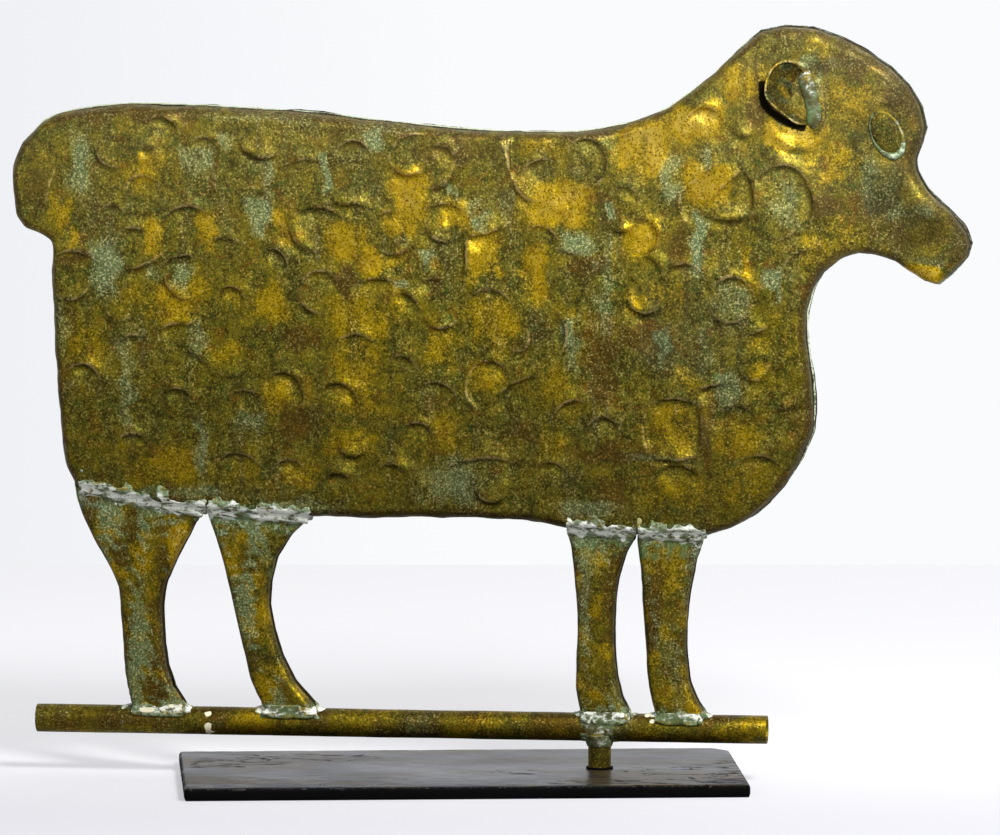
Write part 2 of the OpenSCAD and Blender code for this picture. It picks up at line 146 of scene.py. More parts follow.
def start_from(primitive, name, **settings):
    """Adds a primitive, selected alone, as the start of a piece."""
    bpy.ops.object.select_all(action="DESELECT")
    primitive(**settings)
    bpy.context.object.name = name
    return bpy.context.object


def copy_of(node, name):
    """A copy of a CAD node as a new piece, its loose triangles merged into one skin."""
    piece = bpy.data.objects.new(name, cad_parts[node].data.copy())
    bpy.context.scene.collection.objects.link(piece)
    piece.data.materials.clear()
    only(piece)
    bpy.ops.mesh.customdata_custom_splitnormals_clear()
    edit(piece, (bpy.ops.mesh.remove_doubles, {"threshold": 0.01 * MM}))
    return piece


# %% Shading, and reading a mesh
def smooth(piece, angle=180):
    """Shades the piece smoothly across edges up to this many degrees."""
    only(piece)
    bpy.ops.object.shade_smooth_by_angle(angle=math.radians(angle))


def points_of(piece):
    """The mesh's points in millimetres, one row each."""
    co = np.empty(len(piece.data.vertices) * 3)
    piece.data.vertices.foreach_get("co", co)
    return co.reshape(-1, 3) / MM


def faces_of(piece):
    """Each face's centre, in millimetres, and its normal."""
    found = []
    for name in ("center", "normal"):
        values = np.empty(len(piece.data.polygons) * 3)
        piece.data.polygons.foreach_get(name, values)
        found.append(values.reshape(-1, 3))
    return found[0] / MM, found[1]


def tilt_of(piece):
    """How far the skin leans away from facing front or back: 0 flat, 1 edge on."""
    normal = np.empty(len(piece.data.vertices) * 3)
    piece.data.vertices.foreach_get("normal", normal)
    return 1 - np.abs(normal.reshape(-1, 3)[:, 1])


# %% Marking a mesh and putting a piece in place
def ramp(values, over=1.0):
    """From 0 up to 1 as the values, in millimetres or without a unit, rise by this much."""
    return np.clip(values / over, 0, 1)


def keep_value(piece, name, values):
    """Stores one number for each point, which a material can read."""
    layer = piece.data.attributes.new(name, "FLOAT", "POINT")
    layer.data.foreach_set("value", np.asarray(values, np.float32))


def put_in_place(piece, node, material, body="vane"):
    """Gives a piece its finish and tells which node it replaces and its body."""
    piece.data.materials.clear()
    piece.data.materials.append(material)
    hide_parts(node)
    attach(piece, body)
    print(f"{piece.name}: {len(piece.data.vertices)} points, {len(piece.data.polygons)} faces")


# %% [markdown]
# ## Materials
# The real surfaces are: sheet copper, gilded long ago and worn, over brown and green copper
# patina; soft solder, an alloy of tin and lead that dulls to grey with a pale bloom; and hot rolled
# steel, blackened and waxed. Image textures would be quicker but could not follow the sheet,
# so every pattern is worked out from noise at a real size, and the marks that have a place of
# their own are read from values kept on the mesh. A finish is then built as on the real thing:
# coats are laid one over another, each where its mask says.


# %% Colours, sizes and shader nodes
def colour(code):
    """Turns an sRGB hex value into the linear colour that a shader takes."""
    parts = [int(code[i:i + 2], 16) / 255 for i in (1, 3, 5)]
    linear = [p / 12.92 if p <= 0.04045 else ((p + 0.055) / 1.055) ** 2.4 for p in parts]
    return (*linear, 1)


def per(millimetres):
    """The noise scale whose features are about this wide."""
    return 1 / (millimetres * MM)


def add(tree, kind, inputs=None, out=None, **settings):
    """Adds a shader node, sets or links its inputs by name or number, and returns one output."""
    node = tree.nodes.new("ShaderNode" + kind)
    for key, value in settings.items():
        setattr(node, key, value)
    for key, value in (inputs or {}).items():
        usable = [s for s in node.inputs if s.enabled]
        socket = usable[key] if isinstance(key, int) else next(s for s in usable if s.name == key)
        if isinstance(value, bpy.types.NodeSocket):
            tree.links.new(value, socket)
        else:
            socket.default_value = value
    return next((s for s in node.outputs if s.enabled and out in (None, s.name)), None)


def new_material(name):
    """An empty material and its node tree."""
    material = bpy.data.materials.new(name)
    material.use_nodes = True
    material.node_tree.nodes.clear()
    return material, material.node_tree


# %% Masks and coats
def weighed(tree, start, *terms):
    """A starting number plus each pattern, times its weight where one is given with it."""
    total = start
    for term in terms:
        value, weight = term if isinstance(term, tuple) else (term, 1.0)
        total = add(tree, "Math", {0: value, 1: weight, 2: total}, operation="MULTIPLY_ADD")
    return total


def mask(tree, low, high, *terms, start=0.0, most=1.0, within=()):
    """From 0 where the weighed patterns are low, softly to its most where they are high."""
    ends = {"Value": weighed(tree, start, *terms), "From Min": low, "From Max": high, "To Max": most}
    found = add(tree, "MapRange", ends, interpolation_type="SMOOTHSTEP")
    for other in within:
        found = add(tree, "Math", {0: found, 1: other}, operation="MULTIPLY")
    return found


def coats(tree, ground, *laid):
    """Lays coats over a ground in turn, each a colour or a value with the mask of where it lies."""
    below = colour(ground) if isinstance(ground, str) else ground
    for above, amount in laid:
        above = colour(above) if isinstance(above, str) else above
        kind = "FLOAT" if isinstance(above, float) or getattr(above, "type", "") == "VALUE" else "RGBA"
        below = add(tree, "Mix", {"A": below, "B": above, "Factor": amount}, data_type=kind)
    return below


def finished(material, look, height, relief):
    """Joins a look and a fine bump, relief millimetres deep, in one shader."""
    tree = material.node_tree
    look["Normal"] = add(tree, "Bump", {"Height": height, "Distance": relief * MM, "Strength": 1.0})
    add(tree, "OutputMaterial", {"Surface": add(tree, "BsdfPrincipled", look)})
    return material


# %% [markdown]
# ### Aged gilded copper
# From the bottom up: brown and olive copper patina in soft clouds, streaks where rain ran
# down, gold leaf left in patches with fine dark pinholes and bright points painted as glints, pale
# green verdigris that is dull and powdery, dark dirt and painted shadow in the grooves, and bare
# pale metal on the raised lips, painted pale as a highlight. Painted shade darkens the walls,
# shoulders, hollows and lower parts, and painted light makes the upper body paler. Gold and copper
# are metals; patina and verdigris are not, so the metal value follows the layers.

# %% Tones of the copper
# the darkest tone is dirt in pinholes and grooves, and painted shade on walls, shoulders and hollows
DIRT_AND_SHADE_BLACK = "#171205"
DEEP_BROWN = "#2b2203"
DARK_OLIVE = "#4b4412"
OLIVE_PATINA = "#77752a"
GREEN_OLIVE = "#4f6524"
GOLD_OLIVE = "#93800f"
BROWN_PATINA = "#604615"
GOLD_LEAF = "#e8be0b"
BRIGHT_LEAF = "#f4d050"
# bright straw for small points painted as glints
GLINT_STRAW = "#e3c65c"
VERDIGRIS = "#5f7648"
PALE_VERDIGRIS = "#a9bb92"
# worn lips, painted pale as a highlight on the side towards the light
WORN_AND_LIT_LIP = "#d0b47a"
TINNED = "#b4b9a4"
RUST_BROWN = "#8c5c12"
# a pale tone laid over the upper body as painted light
TOP_LIGHT_TONE = "#b8a872"

# %% Splashes of cream paint
CREAM_PAINT = "#efe8c6"


def paint_mask(tree, speck):
    """Where small splashes of cream paint lie, at the places that the mesh is marked for them."""
    cream_here = add(tree, "Attribute", out="Fac", attribute_name="cream")
    return mask(tree, 0.62, 0.8, cream_here, (speck, 0.5))


# %% Aged gilded copper
def aged_copper(name, leaf=0.0, green=0.0, brown=0.0, dark=0.0, shade_below=0.6, light_above=0.0):
    """Gilded copper with its patina; the numbers add leaf, verdigris, brown, painted shade and light."""
    material, tree = new_material(name)
    place = add(tree, "TexCoord", out="Object")
    up = add(tree, "SeparateXYZ", {"Vector": place}, out="Z")
    rain = add(tree, "Mapping", {"Vector": place, "Scale": (1, 1, 0.2)})
    clouds = add(tree, "TexNoise", {"Vector": place, "Scale": per(60), "Detail": 3.0})
    patches = add(tree, "TexNoise", {"Vector": place, "Scale": per(19), "Detail": 4.0})
    mottle = add(tree, "TexNoise", {"Vector": place, "Scale": per(6), "Detail": 4.0})
    tint = add(tree, "TexNoise", {"Vector": place, "Scale": per(8), "Detail": 4.0, "Distortion": 0.4})
    rust = add(tree, "TexNoise", {"Vector": place, "Scale": per(10), "Detail": 5.0, "Distortion": 0.6})
    speck = add(tree, "TexNoise", {"Vector": place, "Scale": per(1.8), "Detail": 2.0})
    dust = add(tree, "TexNoise", {"Vector": place, "Scale": per(1.1), "Detail": 1.0})
    runs = add(tree, "TexNoise", {"Vector": rain, "Scale": per(13), "Detail": 4.0})
    fine_runs = add(tree, "TexNoise", {"Vector": rain, "Scale": per(3), "Detail": 2.0})
    pepper = weighed(tree, -0.9, speck, (dust, 0.8))
    leaf_here, green_here, brown_here, dark_here, tin_here, edge, held = (
        add(tree, "Attribute", out="Fac", attribute_name=kept)
        for kept in ("leaf", "green", "brown", "dark", "tinned", "edge", "edge_strength"))

    # olive ground that turns greener, more golden and browner from place to place
    olive = mask(tree, 0.34, 0.62, (mottle, 0.7), (patches, 0.3), (pepper, 0.3))
    greener = mask(tree, 0.5, 0.36, tint, most=0.65)
    golden = mask(tree, 0.42, 0.78, (patches, 0.7), (mottle, 0.4), (pepper, 0.3), (leaf_here, 0.35),
                  start=leaf, most=0.9)
    browner = mask(tree, 0.52, 0.8, (runs, 0.5), (clouds, 0.5), (brown_here, 0.45), (leaf_here, -0.2),
                   (pepper, 0.15), start=brown, most=0.8)
    base = coats(tree, DARK_OLIVE, (OLIVE_PATINA, olive), (GREEN_OLIVE, greener), (GOLD_OLIVE, golden),
                 (BROWN_PATINA, browner))

    # worn leaf, bright where it is thickest, and flecks of rust brown that break through it
    leaf_amount = weighed(tree, leaf, (leaf_here, 0.5), (patches, 0.4), (mottle, 0.45), (pepper, 0.4),
                          (brown_here, -0.15))
    gilded = mask(tree, 0.52, 0.92, leaf_amount)
    leaf_tone = coats(tree, GOLD_LEAF, (BRIGHT_LEAF, mask(tree, 0.78, 1.04, leaf_amount)))
    rusted = mask(tree, 0.54, 0.72, rust, most=0.5)

    # rain streaks and powdery verdigris, which covers metal
    streaked = mask(tree, 0.5, 0.7, runs, most=0.6)
    greened = mask(tree, 0.58, 1.05, (green_here, 0.45), (runs, 0.35), (clouds, 0.3), (pepper, 0.35),
                   (mottle, 0.3), (fine_runs, 0.25), (leaf_here, -0.1), start=green, most=0.8)
    green_tone = coats(tree, VERDIGRIS, (PALE_VERDIGRIS, mask(tree, 0.0, 0.26, pepper)))
    base = coats(tree, base, (leaf_tone, gilded), (RUST_BROWN, rusted), (DARK_OLIVE, streaked),
                 (green_tone, greened))

    # fine grain: dull pits and bright points painted as glints, most on the leaf; painted light above
    pitted = mask(tree, 0.0, -0.3, pepper, within=[coats(tree, 0.52, (0.9, gilded))])
    painted_glints = mask(tree, 0.05, 0.3, pepper, within=[coats(tree, 0.4, (0.95, gilded))])
    lit_above = mask(tree, 0.34, 0.58, up, most=light_above)
    base = coats(tree, base, (DIRT_AND_SHADE_BLACK, pitted), (GLINT_STRAW, painted_glints), (TOP_LIGHT_TONE, lit_above))

    # punched lines: dirt and painted shadow at each step's foot, a worn lip painted pale as a highlight
    foot_dirt_and_shadow = mask(tree, 0.25, 0.6, mottle, most=0.42)
    foot = mask(tree, -8.0, -0.6, edge, within=[mask(tree, 0.5, -0.7, edge), held, foot_dirt_and_shadow])
    lip_wear_and_highlight = mask(tree, 0.66, 0.98, mottle, (clouds, 0.6), (pepper, 0.4), most=0.8)
    lip = mask(tree, -0.2, 0.8, edge, within=[mask(tree, 3.4, 1.0, edge), held, lip_wear_and_highlight])
    base = coats(tree, base, (DIRT_AND_SHADE_BLACK, foot), (WORN_AND_LIT_LIP, lip))

    # painted shade where the mesh is marked dark and lower down, solder wiped over the sheet, paint
    # splashes
    painted_shade_coat = mask(tree, 0.3, 0.95, (dark_here, 0.9), (mottle, 0.3), (pepper, -0.12), start=dark)
    # painted shade: the copper grows darker towards the bottom
    low = mask(tree, 0.56, 0.12, up, most=shade_below)
    tin_streaks = mask(tree, 0.5, 0.62, (runs, 0.5), (speck, 0.3), (dust, 0.2), most=0.8)
    tin_tone = coats(tree, VERDIGRIS, (TINNED, tin_streaks))
    tinned = mask(tree, 0.6, 1.05, (tin_here, 0.8), (mottle, 0.5), (pepper, 0.4), most=0.8)
    painted = paint_mask(tree, speck)
    base = coats(tree, base, (DIRT_AND_SHADE_BLACK, painted_shade_coat), (DEEP_BROWN, low), (tin_tone, tinned),
                 (CREAM_PAINT, painted))

    step = mask(tree, -1.4, 1.4, edge, within=[held])
    height = weighed(tree, 0.0, (step, 0.7), (mottle, 0.6), (speck, 0.22), (greened, 0.1))
    return finished(material, {
        "Base Color": base,
        "Metallic": coats(tree, 0.9, (0.97, gilded), (0.1, greened), (0.0, painted_shade_coat), (0.0, painted)),
        "Roughness": coats(tree, 0.5, (0.42, gilded), (0.8, greened), (0.9, painted_shade_coat)),
        "Specular IOR Level": coats(tree, 0.4, (0.05, painted_shade_coat)),
    }, height, 0.8)


# %% The copper of each kind of piece
body_copper = aged_copper("gilded_copper_sheet", light_above=0.12)
leg_copper = aged_copper("leg_copper_sheet", leaf=0.03, green=-0.05, brown=0.04, shade_below=0.42)
# the ear and eye sheets start darker, as painted shade
ear_copper = aged_copper("ear_copper_sheet", leaf=0.06, green=-0.02, brown=0.04, dark=0.3)
eye_copper = aged_copper("eye_copper_sheet", leaf=-0.02, green=-0.04, brown=0.06, dark=0.48)
tube_copper = aged_copper("drawn_copper_tube", leaf=0.05, green=-0.06, brown=0.06, shade_below=0.38)
print("copper materials:", [m.name for m in bpy.data.materials if "copper" in m.name])

# %% [markdown]
# ### Soft solder
# Solder is poured or wiped on hot, so it lies in soft lumps. It is grey metal where it was wiped,
# with a white, powdery bloom and some green run-off from the copper. Where it runs out thin, the
# copper's own olive and green show through.


# %% Soft solder
def soft_solder(name, grey, pale, darkest, pale_from):
    """Wiped tin-lead: grey metal with white bloom in short streaks, stained olive and green."""
    material, tree = new_material(name)
    place = add(tree, "TexCoord", out="Object")
    wiped = add(tree, "Mapping", {"Vector": place, "Scale": (0.4, 1, 1)})
    stain = add(tree, "TexNoise", {"Vector": place, "Scale": per(14), "Detail": 4.0})
    streaks = add(tree, "TexNoise", {"Vector": wiped, "Scale": per(3), "Detail": 5.0, "Distortion": 0.8})
    lumps = add(tree, "TexNoise", {"Vector": place, "Scale": per(9), "Detail": 4.0, "Distortion": 0.5})
    speck = add(tree, "TexNoise", {"Vector": place, "Scale": per(1.5), "Detail": 2.0})
    dark_here, bloom_here, thin_here = (
        add(tree, "Attribute", out="Fac", attribute_name=kept) for kept in ("dark", "bloom", "thin"))
    bloom = mask(tree, pale_from, pale_from + 0.16, (streaks, 0.6), (lumps, 0.5), (speck, 0.2),
                 (bloom_here, 0.2), (stain, -0.3), start=0.2, most=0.95)
    bare = coats(tree, DARK_OLIVE,
                 (VERDIGRIS, mask(tree, 0.42, 0.56, streaks)),
                 (GOLD_OLIVE, mask(tree, 0.54, 0.64, stain, most=0.7)),
                 (PALE_VERDIGRIS, mask(tree, 0.5, 0.7, speck, most=0.55)))
    greyed = mask(tree, 0.48, 0.72, (lumps, 0.6), (streaks, 0.4), (speck, 0.3), (bloom_here, 0.12))
    base = coats(tree, darkest,
                 (grey, greyed),
                 (VERDIGRIS, mask(tree, 0.46, 0.6, stain, most=0.7)),
                 (GOLD_OLIVE, mask(tree, 0.44, 0.34, stain, most=0.8)),
                 (pale, bloom),
                 (DARK_OLIVE, mask(tree, 0.45, 0.34, (streaks, 0.5), (lumps, 0.5), most=0.35)),
                 (bare, mask(tree, 0.62, 0.9, (thin_here, 0.45), (lumps, 0.6), (speck, 0.5), most=0.9)),
                 (DIRT_AND_SHADE_BLACK, mask(tree, 0.35, 0.9, (dark_here, 0.8), (lumps, 0.3))),
                 (CREAM_PAINT, paint_mask(tree, speck)))
    height = weighed(tree, 0.0, (streaks, 0.6), (lumps, 0.3), (speck, 0.5))
    return finished(material, {
        "Base Color": base,
        "Metallic": coats(tree, 0.2, (0.05, bloom)),
        "Roughness": coats(tree, 0.66, (0.85, bloom)),
        "Specular IOR Level": 0.3,
    }, height, 0.45)


grey_solder = soft_solder("grey_solder", "#8d947e", "#f2f5e8", "#4a4626", 0.59)
seam_solder = soft_solder("seam_solder", "#7b8564", "#c8d2b6", "#3c3b20", 0.66)

# %% [markdown]
# ### Blackened steel
# Hot rolled plate keeps a skin of mill scale with faint flow lines. Blackened and waxed, its
# top mirrors the pale studio softly, and its worn top edge shows specks of bright metal. Scale
# and wax don't look like metal, so only those specks are metallic.

# %% Blackened steel
BLUE_WAX, BROWN_WAX = "#1d2430", "#3a3120"


def blackened_steel(name, base_tone, bright_tone, roughness):
    """Waxed mill scale: a thin clear wax over black, with cracked flow lines and a worn edge."""
    material, tree = new_material(name)
    place = add(tree, "TexCoord", out="Object")
    drawn_out = add(tree, "Mapping", {"Vector": place, "Scale": (0.3, 1, 1)})
    clouds = add(tree, "TexNoise", {"Vector": place, "Scale": per(90), "Detail": 3.0})
    stains = add(tree, "TexNoise", {"Vector": drawn_out, "Scale": per(38), "Detail": 4.0})
    lines = add(tree, "TexNoise", {"Vector": drawn_out, "Scale": per(16), "Detail": 5.0, "Distortion": 1.2})
    grain = add(tree, "TexNoise", {"Vector": place, "Scale": per(2.2), "Detail": 3.0})
    worn_here, waxed_here, cracked_here = (
        add(tree, "Attribute", out="Fac", attribute_name=kept) for kept in ("worn", "waxed", "cracked"))
    crack = mask(tree, 0.46, 0.495, lines,
                 within=[mask(tree, 0.53, 0.5, lines), mask(tree, 0.2, 0.6, cracked_here)])
    worn = mask(tree, 1.0, 1.25, (worn_here, 0.6), (grain, 0.9), most=0.8)
    oily = coats(tree, BLUE_WAX, (BROWN_WAX, mask(tree, 0.44, 0.56, stains)))
    base = coats(tree, base_tone, (oily, weighed(tree, 0.0, (waxed_here, 0.9))), (base_tone, crack),
                 (bright_tone, worn))
    height = weighed(tree, 0.0, (lines, 0.6), (stains, 0.5), (grain, 0.2), (crack, -1.4))
    return finished(material, {
        "Base Color": base,
        "Metallic": coats(tree, 0.0, (0.8, worn)),
        "Roughness": weighed(tree, roughness + 0.16, (clouds, 0.25), (stains, 0.2), (crack, 0.5),
                             (waxed_here, -0.3)),
        "IOR": coats(tree, 1.1, (1.26, waxed_here)),
    }, height, 0.2)


plate_steel = blackened_steel("blackened_steel_plate", "#070707", "#77756f", 0.2)
washer_steel = blackened_steel("blackened_steel_washer", "#080808", "#5a5a58", 0.4)
spindle_steel = blackened_steel("drawn_steel_rod", "#5a5b5e", "#a5a5a2", 0.25)
print("materials:", len(bpy.data.materials))

# %% [markdown]
# ## The sheet copper skins
# Each half of the sheep and of its legs is a dished sheet. Its CAD solid has straight facets and a
# bare face, so the piece is a copy of its outer skin, remeshed into small even faces that can take
# hammer marks. Sculpting by hand would give the same, but a list of marks can be read and changed.

# %% Taking the outer skin of a hollow half
RAY_STEP = 0.05
MOST_CROSSINGS = 12
EDGE_ON = 0.1
SEAM_CLEAR, BACK_FACING = 1.2, -0.6


def crossings(piece, start, direction):
    """How many times a ray from start crosses the piece's skin."""
    count = 0
    while count < MOST_CROSSINGS:
        hit, place, _, _ = piece.ray_cast(start, direction)
        if not hit:
            break
        count += 1
        start = place + direction * RAY_STEP * MM
    return count


def outer_skin(node, name, side, grain):
    """The outside of a hollow half, in even faces grain millimetres wide, its outline eased."""
    piece = copy_of(node, name)
    inner = np.zeros(len(piece.data.polygons), bool)
    for face in piece.data.polygons:
        outward = face.normal.y * side
        if outward < -EDGE_ON:
            inner[face.index] = True
        elif outward < EDGE_ON:
            start = face.center + face.normal * RAY_STEP * MM
            inner[face.index] = crossings(piece, start, face.normal) % 4 == 2
    delete_faces(piece, inner)
    close_behind(piece)
    finish_with(piece, "REMESH", mode="VOXEL", voxel_size=grain * MM)
    centres, normals = faces_of(piece)
    delete_faces(piece, (centres[:, 1] * side < SEAM_CLEAR) & (normals[:, 1] * side < BACK_FACING))
    finish_with(piece, "SMOOTH", factor=0.5, iterations=10, use_y=False)
    finish_with(piece, "SMOOTH", factor=0.5, iterations=4)
    close_behind(piece)
    return piece


def delete_faces(piece, chosen):
    """Deletes the faces for which chosen, an array of truth values, is true."""
    edit(piece, (bpy.ops.mesh.select_mode, {"type": "FACE"}),
         (bpy.ops.mesh.select_all, {"action": "DESELECT"}))
    piece.data.polygons.foreach_set("select", chosen)
    bpy.ops.object.mode_set(mode="EDIT")
    bpy.ops.mesh.delete(type="FACE")
    bpy.ops.object.mode_set(mode="OBJECT")


def close_behind(piece):
    """Closes every opening with a face and points all faces outwards."""
    edit(piece,
         (bpy.ops.mesh.fill_holes, {"sides": 0}),
         (bpy.ops.mesh.normals_make_consistent, {"inside": False}))


# %% [markdown]
# ## The wool locks
# A lock is struck into the sheet with a curved punch: on one side of the line the copper stands up
# as a lip, and on the other it drops away, then both run out softly. Light falls from the upper
# right, and the smith raised each lip on that side. So a lock is told by three points of its line.

# %% The lines of the wool locks, in pixels of the photograph
TOP_ROW_LOCKS = [
    ((391, 166), (398, 143), (418, 135)), ((393, 170), (405, 176), (421, 172)),
    ((427, 150), (447, 149), (455, 163)), ((455, 163), (449, 181), (432, 189)),
    ((371, 230), (378, 218), (393, 212)), ((505, 130), (504, 141), (505, 152)),
    ((512, 131), (509, 155), (513, 177)), ((513, 177), (519, 194), (533, 202)),
    ((524, 172), (533, 164), (547, 161)), ((572, 146), (586, 139), (600, 147)),
    ((600, 147), (606, 164), (587, 185)), ((150, 119), (164, 119), (177, 131)),
    ((191, 146), (204, 138), (216, 149)), ((239, 141), (254, 157), (278, 153)),
    ((94, 143), (97, 157), (116, 168)), ((283, 169), (297, 161), (315, 161)),
    ((136, 150), (146, 148), (154, 156)), ((128, 186), (141, 176), (156, 184)),
    ((322, 207), (337, 204), (352, 208)), ((340, 148), (354, 142), (368, 150)),
    ((436, 188), (447, 184), (454, 177)), ((612, 197), (623, 187), (636, 196)),
]
SECOND_ROW_LOCKS = [
    ((102, 210), (112, 206), (122, 211)), ((171, 213), (184, 207), (201, 211)),
    ((206, 244), (222, 239), (238, 243)), ((268, 250), (279, 252), (286, 264)),
    ((290, 222), (297, 244), (316, 252)), ((297, 214), (315, 209), (340, 217)),
    ((340, 208), (352, 204), (364, 208)), ((386, 254), (397, 255), (407, 247)),
    ((422, 213), (440, 205), (464, 213)), ((426, 226), (433, 238), (446, 243)),
    ((463, 282), (465, 258), (464, 236)), ((466, 238), (482, 235), (500, 229)),
    ((533, 228), (549, 230), (556, 243)), ((560, 248), (569, 253), (582, 253)),
    ((612, 229), (622, 232), (631, 229)), ((640, 219), (657, 236), (637, 256)),
    ((121, 233), (131, 229), (142, 232)), ((122, 272), (145, 266), (160, 257)),
    ((163, 266), (177, 258), (195, 258)), ((58, 255), (75, 252), (92, 258)),
    ((219, 293), (231, 288), (243, 297)), ((302, 285), (320, 272), (338, 283)),
    ((300, 300), (306, 309), (318, 314)), ((360, 284), (374, 280), (391, 282)),
    ((422, 283), (431, 280), (440, 282)), ((400, 294), (410, 297), (417, 308)),
]
MIDDLE_ROW_LOCKS = [
    ((468, 301), (487, 290), (509, 301)), ((432, 327), (441, 329), (453, 326)),
    ((517, 352), (528, 347), (531, 336)), ((560, 318), (565, 334), (561, 350)),
    ((628, 294), (643, 315), (661, 303)), ((667, 273), (681, 265), (698, 270)),
    ((784, 270), (794, 256), (812, 251)), ((710, 312), (732, 324), (751, 306)),
    ((712, 292), (730, 278), (750, 288)), ((163, 280), (171, 292), (184, 300)),
    ((107, 300), (112, 320), (130, 317)), ((62, 300), (78, 299), (88, 290)),
    ((160, 331), (174, 325), (192, 327)), ((121, 341), (129, 337), (138, 336)),
    ((189, 353), (199, 358), (208, 367)), ((336, 346), (350, 336), (369, 339)),
    ((393, 357), (404, 358), (415, 366)), ((420, 388), (438, 384), (456, 398)),
    ((471, 378), (489, 362), (507, 375)), ((471, 378), (468, 392), (474, 404)),
    ((491, 407), (504, 392), (537, 377)), ((555, 415), (563, 406), (579, 401)),
    ((698, 391), (711, 387), (726, 384)), ((742, 376), (756, 381), (769, 368)),
    ((748, 335), (757, 333), (768, 327)), ((640, 256), (655, 262), (662, 275)),
]
LOWER_ROW_LOCKS = [
    ((71, 368), (84, 365), (99, 380)), ((267, 382), (283, 373), (300, 388)),
    ((300, 388), (303, 400), (298, 410)), ((319, 396), (336, 384), (356, 404)),
    ((230, 397), (244, 391), (258, 397)), ((216, 373), (230, 377), (245, 373)),
    ((326, 479), (336, 475), (348, 479)), ((221, 459), (238, 454), (255, 462)),
    ((276, 466), (290, 461), (303, 469)), ((381, 468), (395, 466), (407, 477)),
    ((446, 469), (470, 461), (509, 462)), ((475, 481), (490, 503), (508, 489)),
    ((650, 405), (672, 400), (697, 405)), ((697, 405), (701, 428), (698, 452)),
    ((650, 456), (672, 461), (698, 457)), ((648, 410), (645, 432), (649, 452)),
    ((716, 421), (736, 407), (757, 421)), ((739, 463), (757, 457), (780, 467)),
    ((777, 407), (790, 410), (798, 399)), ((655, 476), (676, 466), (697, 477)),
    ((160, 397), (175, 389), (190, 398)), ((340, 450), (352, 458), (366, 450)),
    ((404, 430), (418, 424), (432, 434)), ((590, 425), (604, 418), (617, 428)),
    ((120, 440), (133, 434), (146, 442)), ((536, 470), (551, 464), (566, 472)),
]
NECK_LOCKS = [
    ((716, 166), (701, 177), (685, 191)), ((685, 191), (682, 204), (685, 217)),
    ((744, 171), (724, 187), (703, 210)), ((705, 215), (727, 221), (750, 217)),
    ((750, 217), (753, 194), (744, 171)), ((757, 185), (782, 166), (807, 185)),
    ((807, 185), (813, 204), (808, 224)), ((778, 241), (791, 236), (798, 222)),
    ((690, 116), (704, 108), (718, 114)), ((735, 128), (742, 137), (752, 132)),
]
WOOL_LOCKS = TOP_ROW_LOCKS + SECOND_ROW_LOCKS + MIDDLE_ROW_LOCKS + LOWER_ROW_LOCKS + NECK_LOCKS
print("wool locks:", len(WOOL_LOCKS))

# %% Working out the relief of a lock
LIGHT_SIDE = np.array((0.45, 0.89))
LIP_HEIGHT, LIP_REACH = 3.2, 7.5
DIP_DEPTH, DIP_REACH = 2.8, 7.5
STEP_WIDE = 1.7
END_FADE = 6.0
MOST_RELIEF = 4.6
PAD_HEIGHT, PAD_WIDEST, PAD_FALL = 0.6, 17, 1.6
LOCK_SPREAD = 0.3
ENDS_FAINTER, SIDEWAYS_SHARE = 0.65, 0.6
HOLLOW_BELOW = -0.35
CLAIM_REACH, CRISP_REACH = 3, 5.5
FAR_FROM_EDGE = 9.0


def arc_through(a, b, c):
    """Centre, radius, start angle and signed sweep of the arc from a over b to c."""
    ax, az, bx, bz, cx, cz = (*a, *b, *c)
    twice = 2 * (ax * (bz - cz) + bx * (cz - az) + cx * (az - bz))
    if abs(twice) < 1e-3:
        twice = 1e-3
    square = [ax * ax + az * az, bx * bx + bz * bz, cx * cx + cz * cz]
    x = (square[0] * (bz - cz) + square[1] * (cz - az) + square[2] * (az - bz)) / twice
    z = (square[0] * (cx - bx) + square[1] * (ax - cx) + square[2] * (bx - ax)) / twice
    start, middle, end = (math.atan2(p[1] - z, p[0] - x) for p in (a, b, c))
    sweep = (end - start) % math.tau
    if (middle - start) % math.tau > sweep:
        sweep -= math.tau
    return np.array((x, z)), math.hypot(ax - x, az - z), start, sweep


